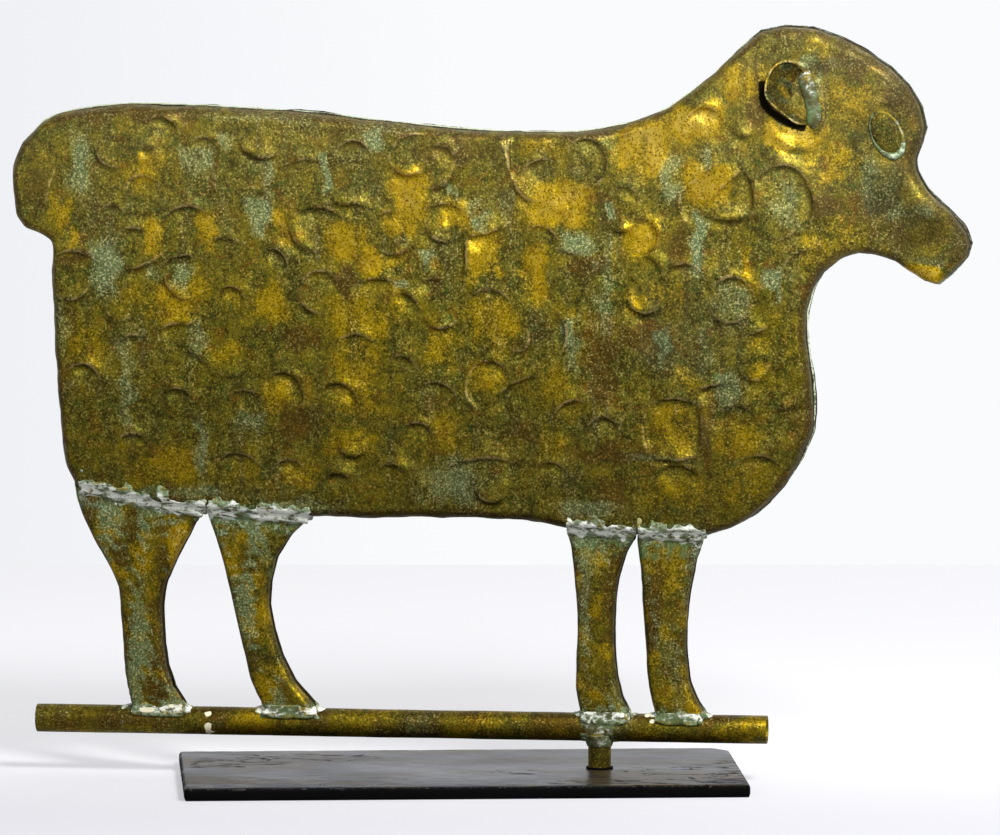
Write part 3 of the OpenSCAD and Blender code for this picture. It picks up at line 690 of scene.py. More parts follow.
def lock_relief(flat, locks, lift=1.0, inside_up=False):
    """The height at each flat point, how far the nearest step is, and how strong that step is."""
    height = np.zeros(len(flat))
    edge = np.full(len(flat), -FAR_FROM_EDGE)
    held = np.zeros(len(flat))
    nearest = np.zeros(len(flat))
    rng = random.Random(8)
    for a, b, c in locks:
        firm = lift * rng.uniform(1 - LOCK_SPREAD, 1 + LOCK_SPREAD)
        centre, radius, start, sweep = arc_through(a, b, c)
        reach = 3 * LIP_REACH
        low = np.minimum(np.minimum(a, b), c) - reach
        high = np.maximum(np.maximum(a, b), c) + reach
        near = np.flatnonzero(((flat > low) & (flat < high)).all(1))
        off = flat[near] - centre
        away = np.hypot(*off.T)
        angle = np.arctan2(off[:, 1], off[:, 0])
        along = (angle - start) * np.sign(sweep) % math.tau
        past = np.minimum(np.maximum(along - abs(sweep), 0), math.tau - along)
        past[along <= abs(sweep)] = 0
        fade = np.exp(-(past * radius / END_FADE) ** 2)
        facing = off @ LIGHT_SIDE / np.maximum(away, 1e-6)
        up = -1.0 if inside_up else np.where(np.sin(start + sweep / 2) > HOLLOW_BELOW, 1.0, -1.0)
        halfway = np.abs(2 * ramp(along, abs(sweep)) - 1)
        lit = SIDEWAYS_SHARE + (1 - SIDEWAYS_SHARE) * np.abs(facing)
        strength = firm * fade * (1 - ENDS_FAINTER * halfway ** 2) * lit
        across = (away - radius) * up
        step = 0.5 + 0.5 * np.tanh(across / STEP_WIDE)
        raised = LIP_HEIGHT * np.exp(-np.abs(across) / LIP_REACH)
        sunk = -DIP_DEPTH * np.exp(-np.abs(across) / DIP_REACH)
        height[near] += strength * (step * raised + (1 - step) * sunk)
        if radius < PAD_WIDEST and not inside_up:
            height[near] += firm * PAD_HEIGHT * np.exp(-PAD_FALL * (away / radius) ** 2)
        claim = strength * np.exp(-np.abs(across) / CLAIM_REACH)
        wins = claim > nearest[near]
        nearest[near[wins]] = claim[wins]
        edge[near[wins]] = across[wins]
        held[near[wins]] = (np.minimum(strength, 1) * np.exp(-(across / CRISP_REACH) ** 2))[wins]
    return height, np.clip(edge, -FAR_FROM_EDGE, FAR_FROM_EDGE), held


# %% Pressing heights into a sheet
PRESS_LEVELS = 500


def press(piece, heights, side):
    """Moves the sheet out or in by a height in millimetres for each point, with two modifiers."""
    for name, part, sign in (("raised", heights, 1), ("sunk", -heights, -1)):
        peak = part.max()
        if peak <= 0:
            continue
        group = piece.vertex_groups.new(name=name)
        level = np.rint(ramp(part, peak) * PRESS_LEVELS).astype(int)
        order = np.argsort(level)
        starts = np.searchsorted(level[order], np.arange(1, PRESS_LEVELS + 2))
        for step in range(PRESS_LEVELS):
            members = order[starts[step]:starts[step + 1]]
            if len(members):
                group.add(members.tolist(), (step + 1) / PRESS_LEVELS, "REPLACE")
        finish_with(piece, "DISPLACE", vertex_group=name, direction="Y", mid_level=0,
                    strength=sign * side * peak * MM)
        piece.vertex_groups.remove(piece.vertex_groups[name])


# %% Hammer dents and lumps
def soft_noise(name, size_mm, depth=1):
    """A cloud texture whose lumps are about this wide, for displacing a mesh."""
    texture = bpy.data.textures.new(name, "CLOUDS")
    texture.noise_scale = size_mm * MM
    texture.noise_depth = depth
    return texture


def dent(piece, texture, strength, level=0.5, **where):
    """Moves the skin in and out by a cloud texture, over strength millimetres in all."""
    finish_with(piece, "DISPLACE", texture=texture, texture_coords="GLOBAL", direction="NORMAL",
                mid_level=level, strength=strength * MM, **where)


broad_dents = soft_noise("broad_dents", 34)
small_dents = soft_noise("small_dents", 13)
solder_lumps = soft_noise("solder_lumps", 5, 2)
bead_lumps = soft_noise("bead_lumps", 4, 2)

# %% [markdown]
# ## Where the gilding, verdigris and brown lie, and where shade is painted
# Each patch is a soft-edged rounded square, as the leaf wore off lock by lock: its middle and half
# sizes in pixels of the photograph, and how strong it is. Noise in the material breaks its edge up.

# %% Patches of the near side, in pixels of the photograph
LEAF_PATCHES = [
    (408, 196, 18, 26, 1.0), (456, 213, 15, 13, 0.8), (558, 205, 32, 22, 1.0), (646, 146, 26, 28, 1.0),
    (146, 168, 17, 16, 0.7), (62, 213, 8, 17, 0.8), (153, 238, 10, 20, 0.8), (172, 305, 24, 20, 0.8),
    (75, 240, 8, 12, 0.7), (281, 229, 9, 14, 0.9), (345, 240, 22, 20, 0.85), (272, 305, 20, 18, 0.8),
    (352, 316, 18, 25, 0.8), (206, 230, 10, 17, 0.7), (195, 292, 10, 14, 0.6), (400, 222, 14, 16, 0.9),
    (372, 262, 14, 14, 0.8), (396, 262, 12, 9, 0.7), (482, 256, 18, 24, 0.85), (436, 262, 8, 8, 0.7),
    (373, 322, 13, 22, 0.7), (535, 272, 12, 26, 0.9), (492, 322, 24, 27, 0.75), (642, 238, 15, 17, 1.0),
    (636, 302, 11, 10, 0.8), (669, 298, 16, 16, 0.7), (567, 312, 8, 6, 0.7), (747, 268, 6, 20, 0.8),
    (815, 250, 12, 16, 0.6), (688, 381, 16, 12, 0.75), (757, 372, 9, 8, 0.9), (698, 122, 26, 18, 0.85),
    (706, 184, 24, 20, 0.95), (795, 137, 26, 12, 1.0), (832, 166, 22, 18, 0.65), (842, 103, 30, 20, 0.5),
    (845, 222, 26, 26, 0.4), (925, 235, 26, 14, 0.25), (744, 82, 22, 16, 0.7), (820, 45, 22, 10, 0.35),
    (85, 345, 18, 20, 0.6), (226, 355, 13, 13, 0.6), (278, 396, 16, 14, 0.85), (358, 378, 22, 40, 0.85),
    (166, 466, 36, 20, 0.75), (350, 441, 24, 14, 0.75), (245, 470, 20, 14, 0.5), (300, 476, 20, 12, 0.6),
    (440, 348, 15, 22, 0.75), (489, 378, 17, 13, 0.65), (673, 428, 25, 25, 0.95), (737, 437, 21, 22, 0.75),
    (680, 491, 30, 16, 0.65), (745, 486, 24, 18, 0.65), (560, 392, 20, 26, 0.5), (440, 432, 30, 20, 0.5),
    (555, 437, 11, 12, 0.5), (130, 300, 14, 12, 0.4), (790, 330, 16, 20, 0.45), (760, 345, 14, 12, 0.5),
    (395, 300, 12, 16, 0.5), (230, 300, 12, 16, 0.4), (540, 145, 20, 10, 0.5), (890, 165, 10, 16, 0.3),
]
CHIN_LEAF = [(919, 272, 20, 9, 1.0)]
GREEN_PATCHES = [
    (79, 165, 10, 26, 0.7), (670, 178, 10, 24, 0.8), (698, 243, 7, 28, 0.9), (576, 243, 16, 12, 1.0),
    (401, 285, 8, 5, 0.9), (424, 257, 7, 6, 0.8), (478, 223, 9, 8, 0.8), (375, 141, 8, 10, 0.8),
    (452, 187, 6, 6, 0.7), (472, 208, 8, 8, 0.6), (611, 210, 6, 8, 0.9), (259, 222, 10, 18, 0.8),
    (198, 334, 7, 15, 0.7), (149, 272, 6, 12, 0.6), (107, 268, 14, 24, 0.8), (182, 278, 10, 14, 0.6),
    (194, 158, 15, 14, 0.6), (226, 142, 7, 10, 0.7), (325, 175, 5, 18, 0.8), (270, 172, 8, 8, 0.5),
    (256, 212, 11, 13, 0.7), (771, 280, 9, 8, 0.9), (777, 298, 4, 10, 0.9), (664, 343, 4, 14, 0.9),
    (729, 390, 10, 16, 0.55), (730, 302, 20, 20, 0.45), (884, 186, 20, 26, 0.5), (922, 207, 12, 8, 0.6),
    (704, 160, 8, 8, 0.6), (783, 204, 13, 20, 0.5), (571, 345, 7, 28, 0.5), (448, 482, 28, 20, 0.6),
    (127, 385, 8, 46, 0.5), (200, 341, 8, 16, 0.6), (247, 421, 14, 10, 0.5), (201, 452, 6, 26, 0.6),
    (60, 330, 8, 26, 0.5), (655, 458, 34, 6, 0.5), (200, 492, 26, 8, 0.6), (300, 505, 40, 7, 0.5),
    (590, 510, 28, 9, 0.6), (250, 115, 60, 6, 0.4), (400, 128, 40, 5, 0.4), (845, 62, 16, 8, 0.3),
    (705, 340, 7, 34, 0.4), (605, 290, 8, 40, 0.4), (930, 262, 16, 8, 0.5), (802, 65, 14, 6, 0.7),
    (818, 84, 4, 16, 0.6), (870, 175, 10, 10, 0.6), (895, 215, 14, 8, 0.5),
]
BROWN_PATCHES = [
    (343, 279, 8, 14, 0.9), (590, 266, 14, 9, 0.9), (678, 245, 11, 24, 0.8), (434, 284, 8, 6, 0.8),
    (305, 337, 18, 12, 0.7), (72, 259, 16, 6, 0.9), (601, 365, 14, 34, 0.8), (611, 455, 40, 8, 0.8),
    (296, 420, 18, 16, 0.8), (130, 110, 100, 9, 0.9), (420, 130, 80, 7, 0.7), (70, 345, 6, 40, 0.5),
    (705, 436, 7, 36, 0.7), (770, 92, 10, 36, 0.5), (860, 205, 24, 10, 0.6), (900, 85, 20, 30, 0.6),
    (925, 235, 36, 24, 0.3), (612, 490, 16, 18, 0.7), (757, 110, 8, 18, 0.9), (884, 215, 24, 22, 0.4),
    (852, 62, 34, 12, 0.6), (905, 160, 12, 26, 0.7), (756, 92, 6, 30, 0.8), (830, 205, 18, 10, 0.8),
    (640, 335, 20, 14, 0.6), (520, 430, 14, 10, 0.5), (800, 440, 12, 40, 0.4), (212, 186, 4, 4, 1.0),
    (455, 150, 40, 12, 0.5), (150, 500, 60, 6, 0.4), (35, 170, 10, 40, 0.5),
]
# Patches of painted shade, which darken the copper and take away some of its leaf.
PAINTED_SHADE_PATCHES = [
    (925, 232, 38, 28, 0.66), (890, 190, 26, 30, 0.62), (905, 108, 22, 52, 0.55), (860, 58, 46, 16, 0.5),
    (830, 208, 26, 12, 0.5), (762, 60, 26, 14, 0.35), (800, 250, 30, 16, 0.35), (790, 300, 24, 30, 0.35),
    (750, 150, 8, 14, 0.4), (810, 68, 18, 10, 0.6), (862, 135, 14, 24, 0.6), (816, 178, 10, 24, 0.5),
    (850, 100, 30, 34, 0.5), (842, 190, 28, 24, 0.5), (815, 36, 26, 8, 0.5), (690, 330, 60, 60, 0.45),
    (690, 440, 90, 60, 0.25),
]
# The shadow that the ear throws on the head, painted as a row of small dark patches along its gap.
EAR_GAP = [(762, 84), (762, 95), (765, 104), (772, 113), (782, 120), (794, 125), (805, 128)]
EAR_SHADOW_PATCHES = [
    (u + (next_u - u) * step / 4, v + (next_v - v) * step / 4, 3.6, 3.6, 1.1)
    for (u, v), (next_u, next_v) in zip(EAR_GAP, EAR_GAP[1:]) for step in range(4)
]
TINNED_PATCHES = [
    (120, 495, 46, 9, 0.9), (250, 512, 60, 8, 0.85), (600, 534, 34, 8, 0.85), (668, 533, 34, 10, 0.9),
    (813, 98, 8, 28, 0.6),
]
CREAM_SPECKS = [
    (208, 727, 2.2, 4.0, 1.2), (210, 733, 3.0, 2.2, 1.2), (207, 714, 2.6, 1.8, 1.2),
    (197, 704, 2.5, 1.5, 1.1), (147, 709, 6.5, 2.2, 1.2), (172, 706, 2.5, 1.5, 1.0),
    (648, 716, 2.4, 2.2, 1.1), (652, 722, 2.0, 1.6, 1.0),
]
print("patches:", len(LEAF_PATCHES + GREEN_PATCHES + BROWN_PATCHES + TINNED_PATCHES))


# %% Reading the patches at each point
def ripple(flat, size, seed):
    """A smooth wavy value about -1 to 1, its waves about this many millimetres long."""
    rng = random.Random(seed)
    total = np.zeros(len(flat))
    for _ in range(6):
        turn, phase = rng.uniform(0, math.tau), rng.uniform(0, math.tau)
        pitch = math.tau / (size * rng.uniform(0.6, 1.5))
        total += np.sin(pitch * (flat[:, 0] * math.cos(turn) + flat[:, 1] * math.sin(turn)) + phase)
    return total / 2.5


def patch_values(flat, patches, jitter=0.0, seed=1, wavy=3, depth=FACE_DEPTH):
    """How strongly each flat point lies in a patch; jitter moves the patches, in millimetres."""
    rng = random.Random(seed)
    wander = np.stack((ripple(flat, 26, seed), ripple(flat, 26, seed + 50)), 1) * wavy
    values = np.zeros(len(flat))
    for u, v, half_wide, half_high, strength in patches:
        shift = np.array((rng.uniform(-jitter, jitter), rng.uniform(-jitter, jitter)))
        off = np.abs(flat + wander - on_face(u, v, depth) - shift) / PIXEL
        soft = np.exp(-(off[:, 0] / half_wide / 1.1) ** 4 - (off[:, 1] / half_high / 1.1) ** 4)
        values = np.maximum(values, strength * soft)
    return values


# %% [markdown]
# ## The head
# Ahead of the wool the face is plain. A round boss stands under the ear, the jaw has a
# bevelled lower edge, and a crease sets the tail off from the rump. Their lines are pressed as the
# locks are, only softer on the head, and round the boss it is the inner side that stands up.

# %% Lines of the head and tail, in pixels of the photograph
BOSS_LINES = [
    ((771, 132), (797, 151), (823, 136)), ((823, 136), (826, 108), (819, 80)),
    ((819, 80), (806, 66), (790, 62)),
]
FACE_LINES = [
    ((872, 112), (884, 104), (899, 112)), ((862, 165), (871, 176), (885, 178)),
    ((903, 205), (917, 212), (930, 222)),
]
TAIL_LINES = [((56, 170), (50, 188), (46, 206))]

# %% Making both halves of the body
BODY_GRAIN = 1.7
FAR_SHIFT = 9
WALL_DEPTH, WALL_FADE = 15, 8
LINE_CRISPNESS = (1.0, 0.35, 0.6, 1.0)
# less leaf is kept lower down, as painted shade on the lower body
LEAF_SHADE_HEIGHTS, LEAF_UNDER_SHADE = (330, 490, 520), (0.62, 1.0, 1.2)


def in_millimetres(lines, jitter=0.0, seed=1):
    """Lines told in pixels, as lines on the face; jitter moves and bends each one a little."""
    rng = random.Random(seed)
    moved = []
    for line in lines:
        shift = np.array((rng.uniform(-jitter, jitter), rng.uniform(-jitter, jitter)))
        bend = rng.uniform(-0.25, 0.25) if jitter else 0
        a, b, c = (on_face(*p) + shift for p in line)
        middle = (a + c) / 2
        moved.append((a, middle + (b - middle) * (1 + bend), c))
    return moved


def body_relief(piece, flat, on_sheet, jitter):
    """The height of all the lines at each point; keeps the nearest step on the mesh as well."""
    parts = (
        lock_relief(flat, in_millimetres(WOOL_LOCKS, jitter, 5)),
        lock_relief(flat, in_millimetres(BOSS_LINES), 0.65, inside_up=True),
        lock_relief(flat, in_millimetres(FACE_LINES), 0.4),
        lock_relief(flat, in_millimetres(TAIL_LINES), 1.0),
    )
    strongest = np.argmax([part[2] * np.exp(-np.abs(part[1]) / CLAIM_REACH) for part in parts], 0)
    rows = np.arange(len(flat))
    keep_value(piece, "edge", np.stack([part[1] for part in parts])[strongest, rows])
    held = np.stack([part[2] * crisp for part, crisp in zip(parts, LINE_CRISPNESS)])[strongest, rows]
    keep_value(piece, "edge_strength", held * on_sheet)
    return sum(part[0] for part in parts) * on_sheet


def mark_body_patina_and_shade(piece, flat, depth, on_sheet, jitter):
    """Keeps on the mesh where the body is gilded, green, brown and tinned, and where shade is painted."""
    chin = patch_values(flat, CHIN_LEAF)
    leaf_under_shade = np.interp(flat[:, 1], LEAF_SHADE_HEIGHTS, LEAF_UNDER_SHADE)
    gilded = patch_values(flat, LEAF_PATCHES, jitter, 2) * on_sheet * leaf_under_shade
    # painted shade in patches, which also takes away some leaf
    shade_patch = patch_values(flat, PAINTED_SHADE_PATCHES, wavy=6)
    keep_value(piece, "leaf", np.maximum(gilded * (1 - 0.6 * shade_patch), chin))
    keep_value(piece, "green", patch_values(flat, GREEN_PATCHES, jitter, 3) * on_sheet)
    # painted shade on the turned-in shoulder, laid as brown and as dark
    shoulder = ramp(tilt_of(piece), 0.1)
    shoulder *= np.clip(0.75 + 0.45 * ripple(flat, 18, 61), 0.2, 1)
    brown = np.maximum(patch_values(flat, BROWN_PATCHES, jitter, 4) * on_sheet, 0.6 * shoulder)
    keep_value(piece, "brown", brown * (1 - ramp(chin)))
    keep_value(piece, "tinned", patch_values(flat, TINNED_PATCHES) * ramp(depth - 6, 6))
    # painted shade on the edge walls, with the ear's painted shadow and the shade patches
    wall = 0.75 * (1 - ramp(depth - 9, 11)) ** 1.2
    ear_shadow = patch_values(flat, EAR_SHADOW_PATCHES, wavy=0.5) * on_sheet
    darkest = np.max((wall, 0.36 * shoulder, ear_shadow, shade_patch), 0)
    keep_value(piece, "dark", darkest * (1 - ramp(chin)))


def make_body_half(word, side):
    """One half of the body: its skin, marked with its patina and painted shade, hammered and finished."""
    node = f"body_{word}_half"
    piece = outer_skin(node, f"{word}_side_of_body", side, BODY_GRAIN)
    points = points_of(piece)
    flat, depth = points[:, [0, 2]], points[:, 1] * side
    on_sheet = ramp(depth - WALL_DEPTH, WALL_FADE)
    jitter = 0 if side == NEAR else FAR_SHIFT
    height = body_relief(piece, flat, on_sheet, jitter)
    mark_body_patina_and_shade(piece, flat, depth, on_sheet, jitter)
    press(piece, MOST_RELIEF * np.tanh(height / MOST_RELIEF), side)
    for texture, strength in ((broad_dents, 3.0), (small_dents, 1.2)):
        dent(piece, texture, strength)
    smooth(piece)
    put_in_place(piece, node, body_copper)
    return piece


body_sheets = {word: make_body_half(word, side) for word, side in SIDES.items()}

# %% [markdown]
# ## The legs
# Each leg is two dished sheets as well, plainer than the body: no wool, only soft hammer dents.
# They could be drawn anew, but skins taken off the CAD halves already meet the body and the feet.

# %% Legs
LEG_GRAIN = 1.3
LEG_GREEN = {"rear_hind": 0.95, "front_hind": 1.0, "rear_fore": 0.6, "front_fore": 0.5}
LEGS = tuple(LEG_GREEN)
LEG_LEAF = [
    (181, 548, 10, 26, 0.9), (268, 688, 12, 16, 0.6), (600, 560, 16, 20, 0.3), (668, 565, 16, 26, 0.4),
    (676, 690, 16, 18, 0.35), (262, 620, 10, 20, 0.5), (234, 560, 12, 20, 0.5), (146, 560, 12, 14, 0.4),
]


def make_leg_half(leg, word, side):
    """One half of a leg: its skin, streaked with green from the top and tinned at both ends."""
    node = f"{leg}_leg_{word}_half"
    piece = outer_skin(node, f"{leg}_leg_{word}_side", side, LEG_GRAIN)
    points = points_of(piece)
    depth = points[:, 1] * side
    high = points[:, 2].max()
    flat = points[:, [0, 2]]
    wall = 1 - ramp(depth - 3, 6)
    # painted shade on the leg's edge walls and where its sides turn away
    keep_value(piece, "dark", np.maximum(wall, 0.4 * ramp(tilt_of(piece), 0.3)))
    drawn_down = flat * (1, 0.22)
    top = 0.4 * ramp(flat[:, 1] - high + 45, 40)
    streaks = 0.3 + ripple(drawn_down, 24, 12) + 0.5 * ripple(flat, 11, 19)
    keep_value(piece, "green", top + LEG_GREEN[leg] * ramp(streaks))
    ends = np.maximum(1.2 - (high - flat[:, 1]) / 30, 1.35 - (flat[:, 1] - flat[:, 1].min()) / 16)
    keep_value(piece, "tinned", ramp(ends + 0.25 * ripple(flat, 12, 18)) * 0.85)
    gilded = patch_values(flat, LEG_LEAF, wavy=2, depth=points[:, 1].max() * MM)
    keep_value(piece, "leaf", np.maximum(0.5 * ramp(ripple(flat, 26, 9)), gilded))
    keep_value(piece, "brown", 0.45 * ramp(0.2 + ripple(drawn_down, 22, 16)))
    for texture, strength in ((broad_dents, 1.6), (small_dents, 0.8)):
        dent(piece, texture, strength, 0.4)
    smooth(piece)
    put_in_place(piece, node, leg_copper)
    return piece


leg_sheets = {
    (leg, word): make_leg_half(leg, word, side)
    for leg in LEGS for word, side in SIDES.items()
}

# %% [markdown]
# ## The mounting tube
# A straight copper tube, open at both ends. A plain cylinder would look machined, and its long
# faces could not take a dent, so one short ring is repeated along the tube and welded; the wall
# is then made thick, its ends bevelled, and a few soft dents are pressed in.

# %% Splashes of paint near the feet
def cream_on(points, depth):
    """Where cream paint lies on the near side of a piece at about this depth."""
    specks = patch_values(points[:, [0, 2]], CREAM_SPECKS, wavy=0.3, depth=depth)
    return specks * (points[:, 1] < 0)


# %% Mounting tube
tube_low, tube_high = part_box("mounting_tube")
TUBE_RADIUS = (tube_high.z - tube_low.z) / 2
TUBE_WALL = 1.5
TUBE_RINGS = 130


def make_tube():
    """The tube that the sheep stands on, with solder smeared over it at each foot."""
    length = tube_high.x - tube_low.x
    piece = start_from(
        bpy.ops.mesh.primitive_cylinder_add, "copper_mounting_tube",
        vertices=52, radius=TUBE_RADIUS, depth=length / TUBE_RINGS, end_fill_type="NOTHING",
        location=(tube_low.x + length / TUBE_RINGS / 2, 0, (tube_low.z + tube_high.z) / 2),
        rotation=(0, math.radians(90), 0))
    bpy.ops.object.transform_apply()
    finish_with(piece, "ARRAY", count=TUBE_RINGS, relative_offset_displace=(1, 0, 0),
                use_merge_vertices=True, merge_threshold=0.01 * MM)
    finish_with(piece, "SOLIDIFY", thickness=TUBE_WALL * MM, offset=-1)
    finish_with(piece, "BEVEL", width=0.4 * MM, segments=2, limit_method="ANGLE")
    dent(piece, broad_dents, 0.5, 0.62)
    points = points_of(piece)
    flat = points[:, [0, 2]]
    smear = np.zeros(len(points))
    for leg in LEGS:
        low, high = (corner.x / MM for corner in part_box(f"{leg}_foot_solder"))
        off = np.abs(points[:, 0] - (low + high) / 2) / ((high - low) / 2 + 6)
        upper = ramp(points[:, 2] - tube_low.z / MM, 2 * TUBE_RADIUS / MM)
        smear = np.maximum(smear, 0.6 * np.exp(-off ** 4) * (1 if leg == "rear_fore" else upper))
    keep_value(piece, "tinned", smear)
    keep_value(piece, "cream", cream_on(points, TUBE_RADIUS))
    keep_value(piece, "leaf", 0.35 * ramp(ripple(flat, 50, 71)))
    keep_value(piece, "green", 0.25 * ramp(ripple(flat, 45, 72)))
    keep_value(piece, "brown", 0.6 * ramp(ripple(flat, 60, 73)))
    smooth(piece, 50)
    put_in_place(piece, "mounting_tube", tube_copper)
    return piece


tube_sheet = make_tube()

# %% [markdown]
# ## Solder
# The solder was run in round the tops of the legs and over the feet, and wiped out over the
# sheet while it was soft. A copy of the CAD band would leave a hard collar, so each run is built
# from thin skins taken off the copper that it covers, with a bead laid in the corner between them.
# Joined, remeshed and smoothed, they melt into one run whose edges dip raggedly into the copper.

# %% Where the solder lies, in pixels of the photograph
LEG_TOP_LINES = {
    "rear_hind": ((80, 488), (201, 513)), "front_hind": ((209, 511), (306, 519)),
    "rear_fore": ((569, 528), (633, 534)), "front_fore": ((640, 534), (702, 537)),
}
BEAD_RADIUS, BEAD_DEPTH = 5.2, 12.5
FOOT_BEAD_RADIUS, FOOT_BEAD_DEPTH = 2.6, 10.3
FOOT_FLARE = (7, 7, 3)
RUN_GRAIN, FINE_GRAIN, SEAM_GRAIN = 0.8, 0.6, 0.55
LEG_TOP_SEED, FOOT_SEED, SEED_STEP = 20, 40, 3


# %% Parts of a solder run
def bead_along(a, b, side, radius, depth):
    """A bar of solder from one flat place to another on one side, ready to be melted in."""
    middle, reach = (a + b) / 2, b - a
    return start_from(
        bpy.ops.mesh.primitive_cylinder_add, "bead",
        vertices=20, radius=radius * MM, depth=math.hypot(*reach) * MM,
        location=(middle[0] * MM, side * depth * MM, middle[1] * MM),
        rotation=(0, math.atan2(reach[0], reach[1]), 0))


def lump_at(x, y, z, halves):
    """A flattened ball of solder of these half sizes, in millimetres."""
    return start_from(
        bpy.ops.mesh.primitive_uv_sphere_add, "lump",
        segments=32, ring_count=16, radius=1, location=(x * MM, y * MM, z * MM),
        scale=tuple(h * MM for h in halves))


def wiped_skin(sheet, covered, thick):
    """A thin layer over part of a sheet; covered tells of each face whether solder lies on it."""
    skin = sheet.copy()
    skin.data = sheet.data.copy()
    bpy.context.scene.collection.objects.link(skin)
    delete_faces(skin, ~covered)
    finish_with(skin, "SOLIDIFY", thickness=thick * MM, offset=-0.2)
    return skin


def melt_together(parts, name, grain, ease, draw_in, lumps, texture):
    """Joins the parts of a run into one skin, eases it and makes it lumpy."""
    bpy.ops.object.select_all(action="DESELECT")
    for part in parts:
        part.select_set(True)
    piece = parts[0]
    bpy.context.view_layer.objects.active = piece
    if len(parts) > 1:
        bpy.ops.object.join()
    only(piece)
    bpy.ops.object.transform_apply()
    piece.name = name
    finish_with(piece, "REMESH", mode="VOXEL", voxel_size=grain * MM)
    finish_with(piece, "SMOOTH", factor=0.5, iterations=ease)
    dent(piece, texture, lumps, 0.5 + draw_in / lumps)
    smooth(piece)
    return piece


# %% Solder at the tops of the legs
def leg_top_run(leg, seed):
    """Skins over the body and the leg either side of their joint, and a bead in the corner."""
    a, b = (on_face(*place) for place in LEG_TOP_LINES[leg])
    length = math.hypot(*(b - a))
    along = (b - a) / length
    upward = np.array((-along[1], along[0]))
    parts = []
    for word, side in SIDES.items():
        parts.append(bead_along(a, b, side, BEAD_RADIUS, BEAD_DEPTH))
        for sheet, above, below in ((body_sheets[word], 8, 6), (leg_sheets[leg, word], 9, 8)):
            centres, _ = faces_of(sheet)
            flat = centres[:, [0, 2]]
            run, rise = (flat - a) @ along, (flat - a) @ upward
            wave = ripple(flat, 20, seed + side) + 0.4 * ripple(flat, 7, seed + side + 8)
            covered = (rise < above * (1 + 0.5 * wave)) & (rise > -below * (1 + 0.4 * wave))
            covered &= (run > -3) & (run < length + 3) & (centres[:, 1] * side > 3)
            parts.append(wiped_skin(sheet, covered, 1.25))
    piece = melt_together(parts, f"{leg}_leg_top_run", RUN_GRAIN, 10, 0.1, 1.0, solder_lumps)
    flat = points_of(piece)[:, [0, 2]]
    off = np.abs((flat - a) @ upward - 2.5 * ripple(flat, 26, seed + 40))
    width = 3.5 + 2.5 * ripple(flat, 15, seed + 41)
    keep_value(piece, "thin", ramp(off - width, 5))
    return piece


for number, leg in enumerate(LEGS):
    run = leg_top_run(leg, LEG_TOP_SEED + SEED_STEP * number)
    put_in_place(run, f"{leg}_leg_top_solder", grey_solder)


# %% Solder at the feet
def foot_run(leg, seed):
    """Skins over the foot and the tube, beads in their corners, and flares before and behind."""
    low, high = (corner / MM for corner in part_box(f"{leg}_foot_solder"))
    top = tube_high.z / MM
    left, right = np.array((low.x + 4, top - 3.5)), np.array((high.x - 4, top - 3.5))
    parts = [lump_at(x, 0, top - 1.5, FOOT_FLARE) for x in (low.x + 3, high.x - 3)]
    for word, side in SIDES.items():
        parts.append(bead_along(left, right, side, FOOT_BEAD_RADIUS, FOOT_BEAD_DEPTH))
        sheet = leg_sheets[leg, word]
        centres, _ = faces_of(sheet)
        wave = ripple(centres[:, [0, 2]], 16, seed + side)
        parts.append(wiped_skin(sheet, centres[:, 2] < top + 4 + 2 * wave, 1.5))
    centres, _ = faces_of(tube_sheet)
    flat = centres[:, [0, 2]]
    wave = ripple(flat, 16, seed + 5) + 0.6 * ripple(flat, 7, seed + 13)
    middle, half = (low.x + high.x) / 2, (high.x - low.x) / 2
    sideways = np.abs(centres[:, 0] - middle) / (half + 2 + 3 * wave)
    covered = (sideways < 1) & (centres[:, 2] > top - 4 - 4 * wave + 6 * sideways ** 2)
    if leg == "rear_fore":
        covered |= (np.abs(centres[:, 0]) < 13 + 3 * wave)
    parts.append(wiped_skin(tube_sheet, covered, 1.2))
    piece = melt_together(parts, f"{leg}_foot_run", RUN_GRAIN, 16, 0.2, 1.3, solder_lumps)
    points = points_of(piece)
    thin = ramp(np.abs(points[:, 2] - top + 1) - 1.5, 4)
    if leg == "rear_fore":
        thin *= ramp(np.abs(points[:, 0]) - 10, 5)
    keep_value(piece, "thin", thin)
    keep_value(piece, "bloom", -0.3 - 0.6 * ramp(top - 4 - points[:, 2], 8))
    keep_value(piece, "cream", cream_on(points, TUBE_RADIUS))
    return piece


for number, leg in enumerate(LEGS):
    run = foot_run(leg, FOOT_SEED + SEED_STEP * number)
    put_in_place(run, f"{leg}_foot_solder", grey_solder)

# %% Solder under the mounting tube
fillet = copy_of("socket_solder", "socket_run")
fillet = melt_together([fillet], "socket_solder_run", FINE_GRAIN, 4, 0.0, 1.0, solder_lumps)
keep_value(fillet, "bloom", np.full(len(fillet.data.vertices), -0.9))
put_in_place(fillet, "socket_solder", grey_solder)

# %% Solder in the seam of the body
seam = copy_of("body_seam_solder", "seam_run")
seam = melt_together([seam], "seam_solder_bead", SEAM_GRAIN, 3, 0.0, 0.7, bead_lumps)
seam_x, _, seam_z = points_of(seam).T
on_head = ramp(seam_x - 90, 30) * ramp(seam_z - 380, 40)
keep_value(seam, "bloom", ramp(seam_z - 300, 60) * (1 - on_head))
keep_value(seam, "dark", 0.7 * on_head)
put_in_place(seam, "body_seam_solder", seam_solder)

# %% [markdown]
# ## The ears
# An ear is a small leaf-shaped cup beaten from sheet. Its straight front edge is soldered to the
# head and its back edge stands off, which throws the dark shadow seen beside it; that shadow is
# also painted on the head. It could be bent from a flat leaf, but a squashed ball gives the cupping
# at once: half of it is cut away, its lower end is drawn out into the tip, a wall is added and it
# is swung out round its front edge.

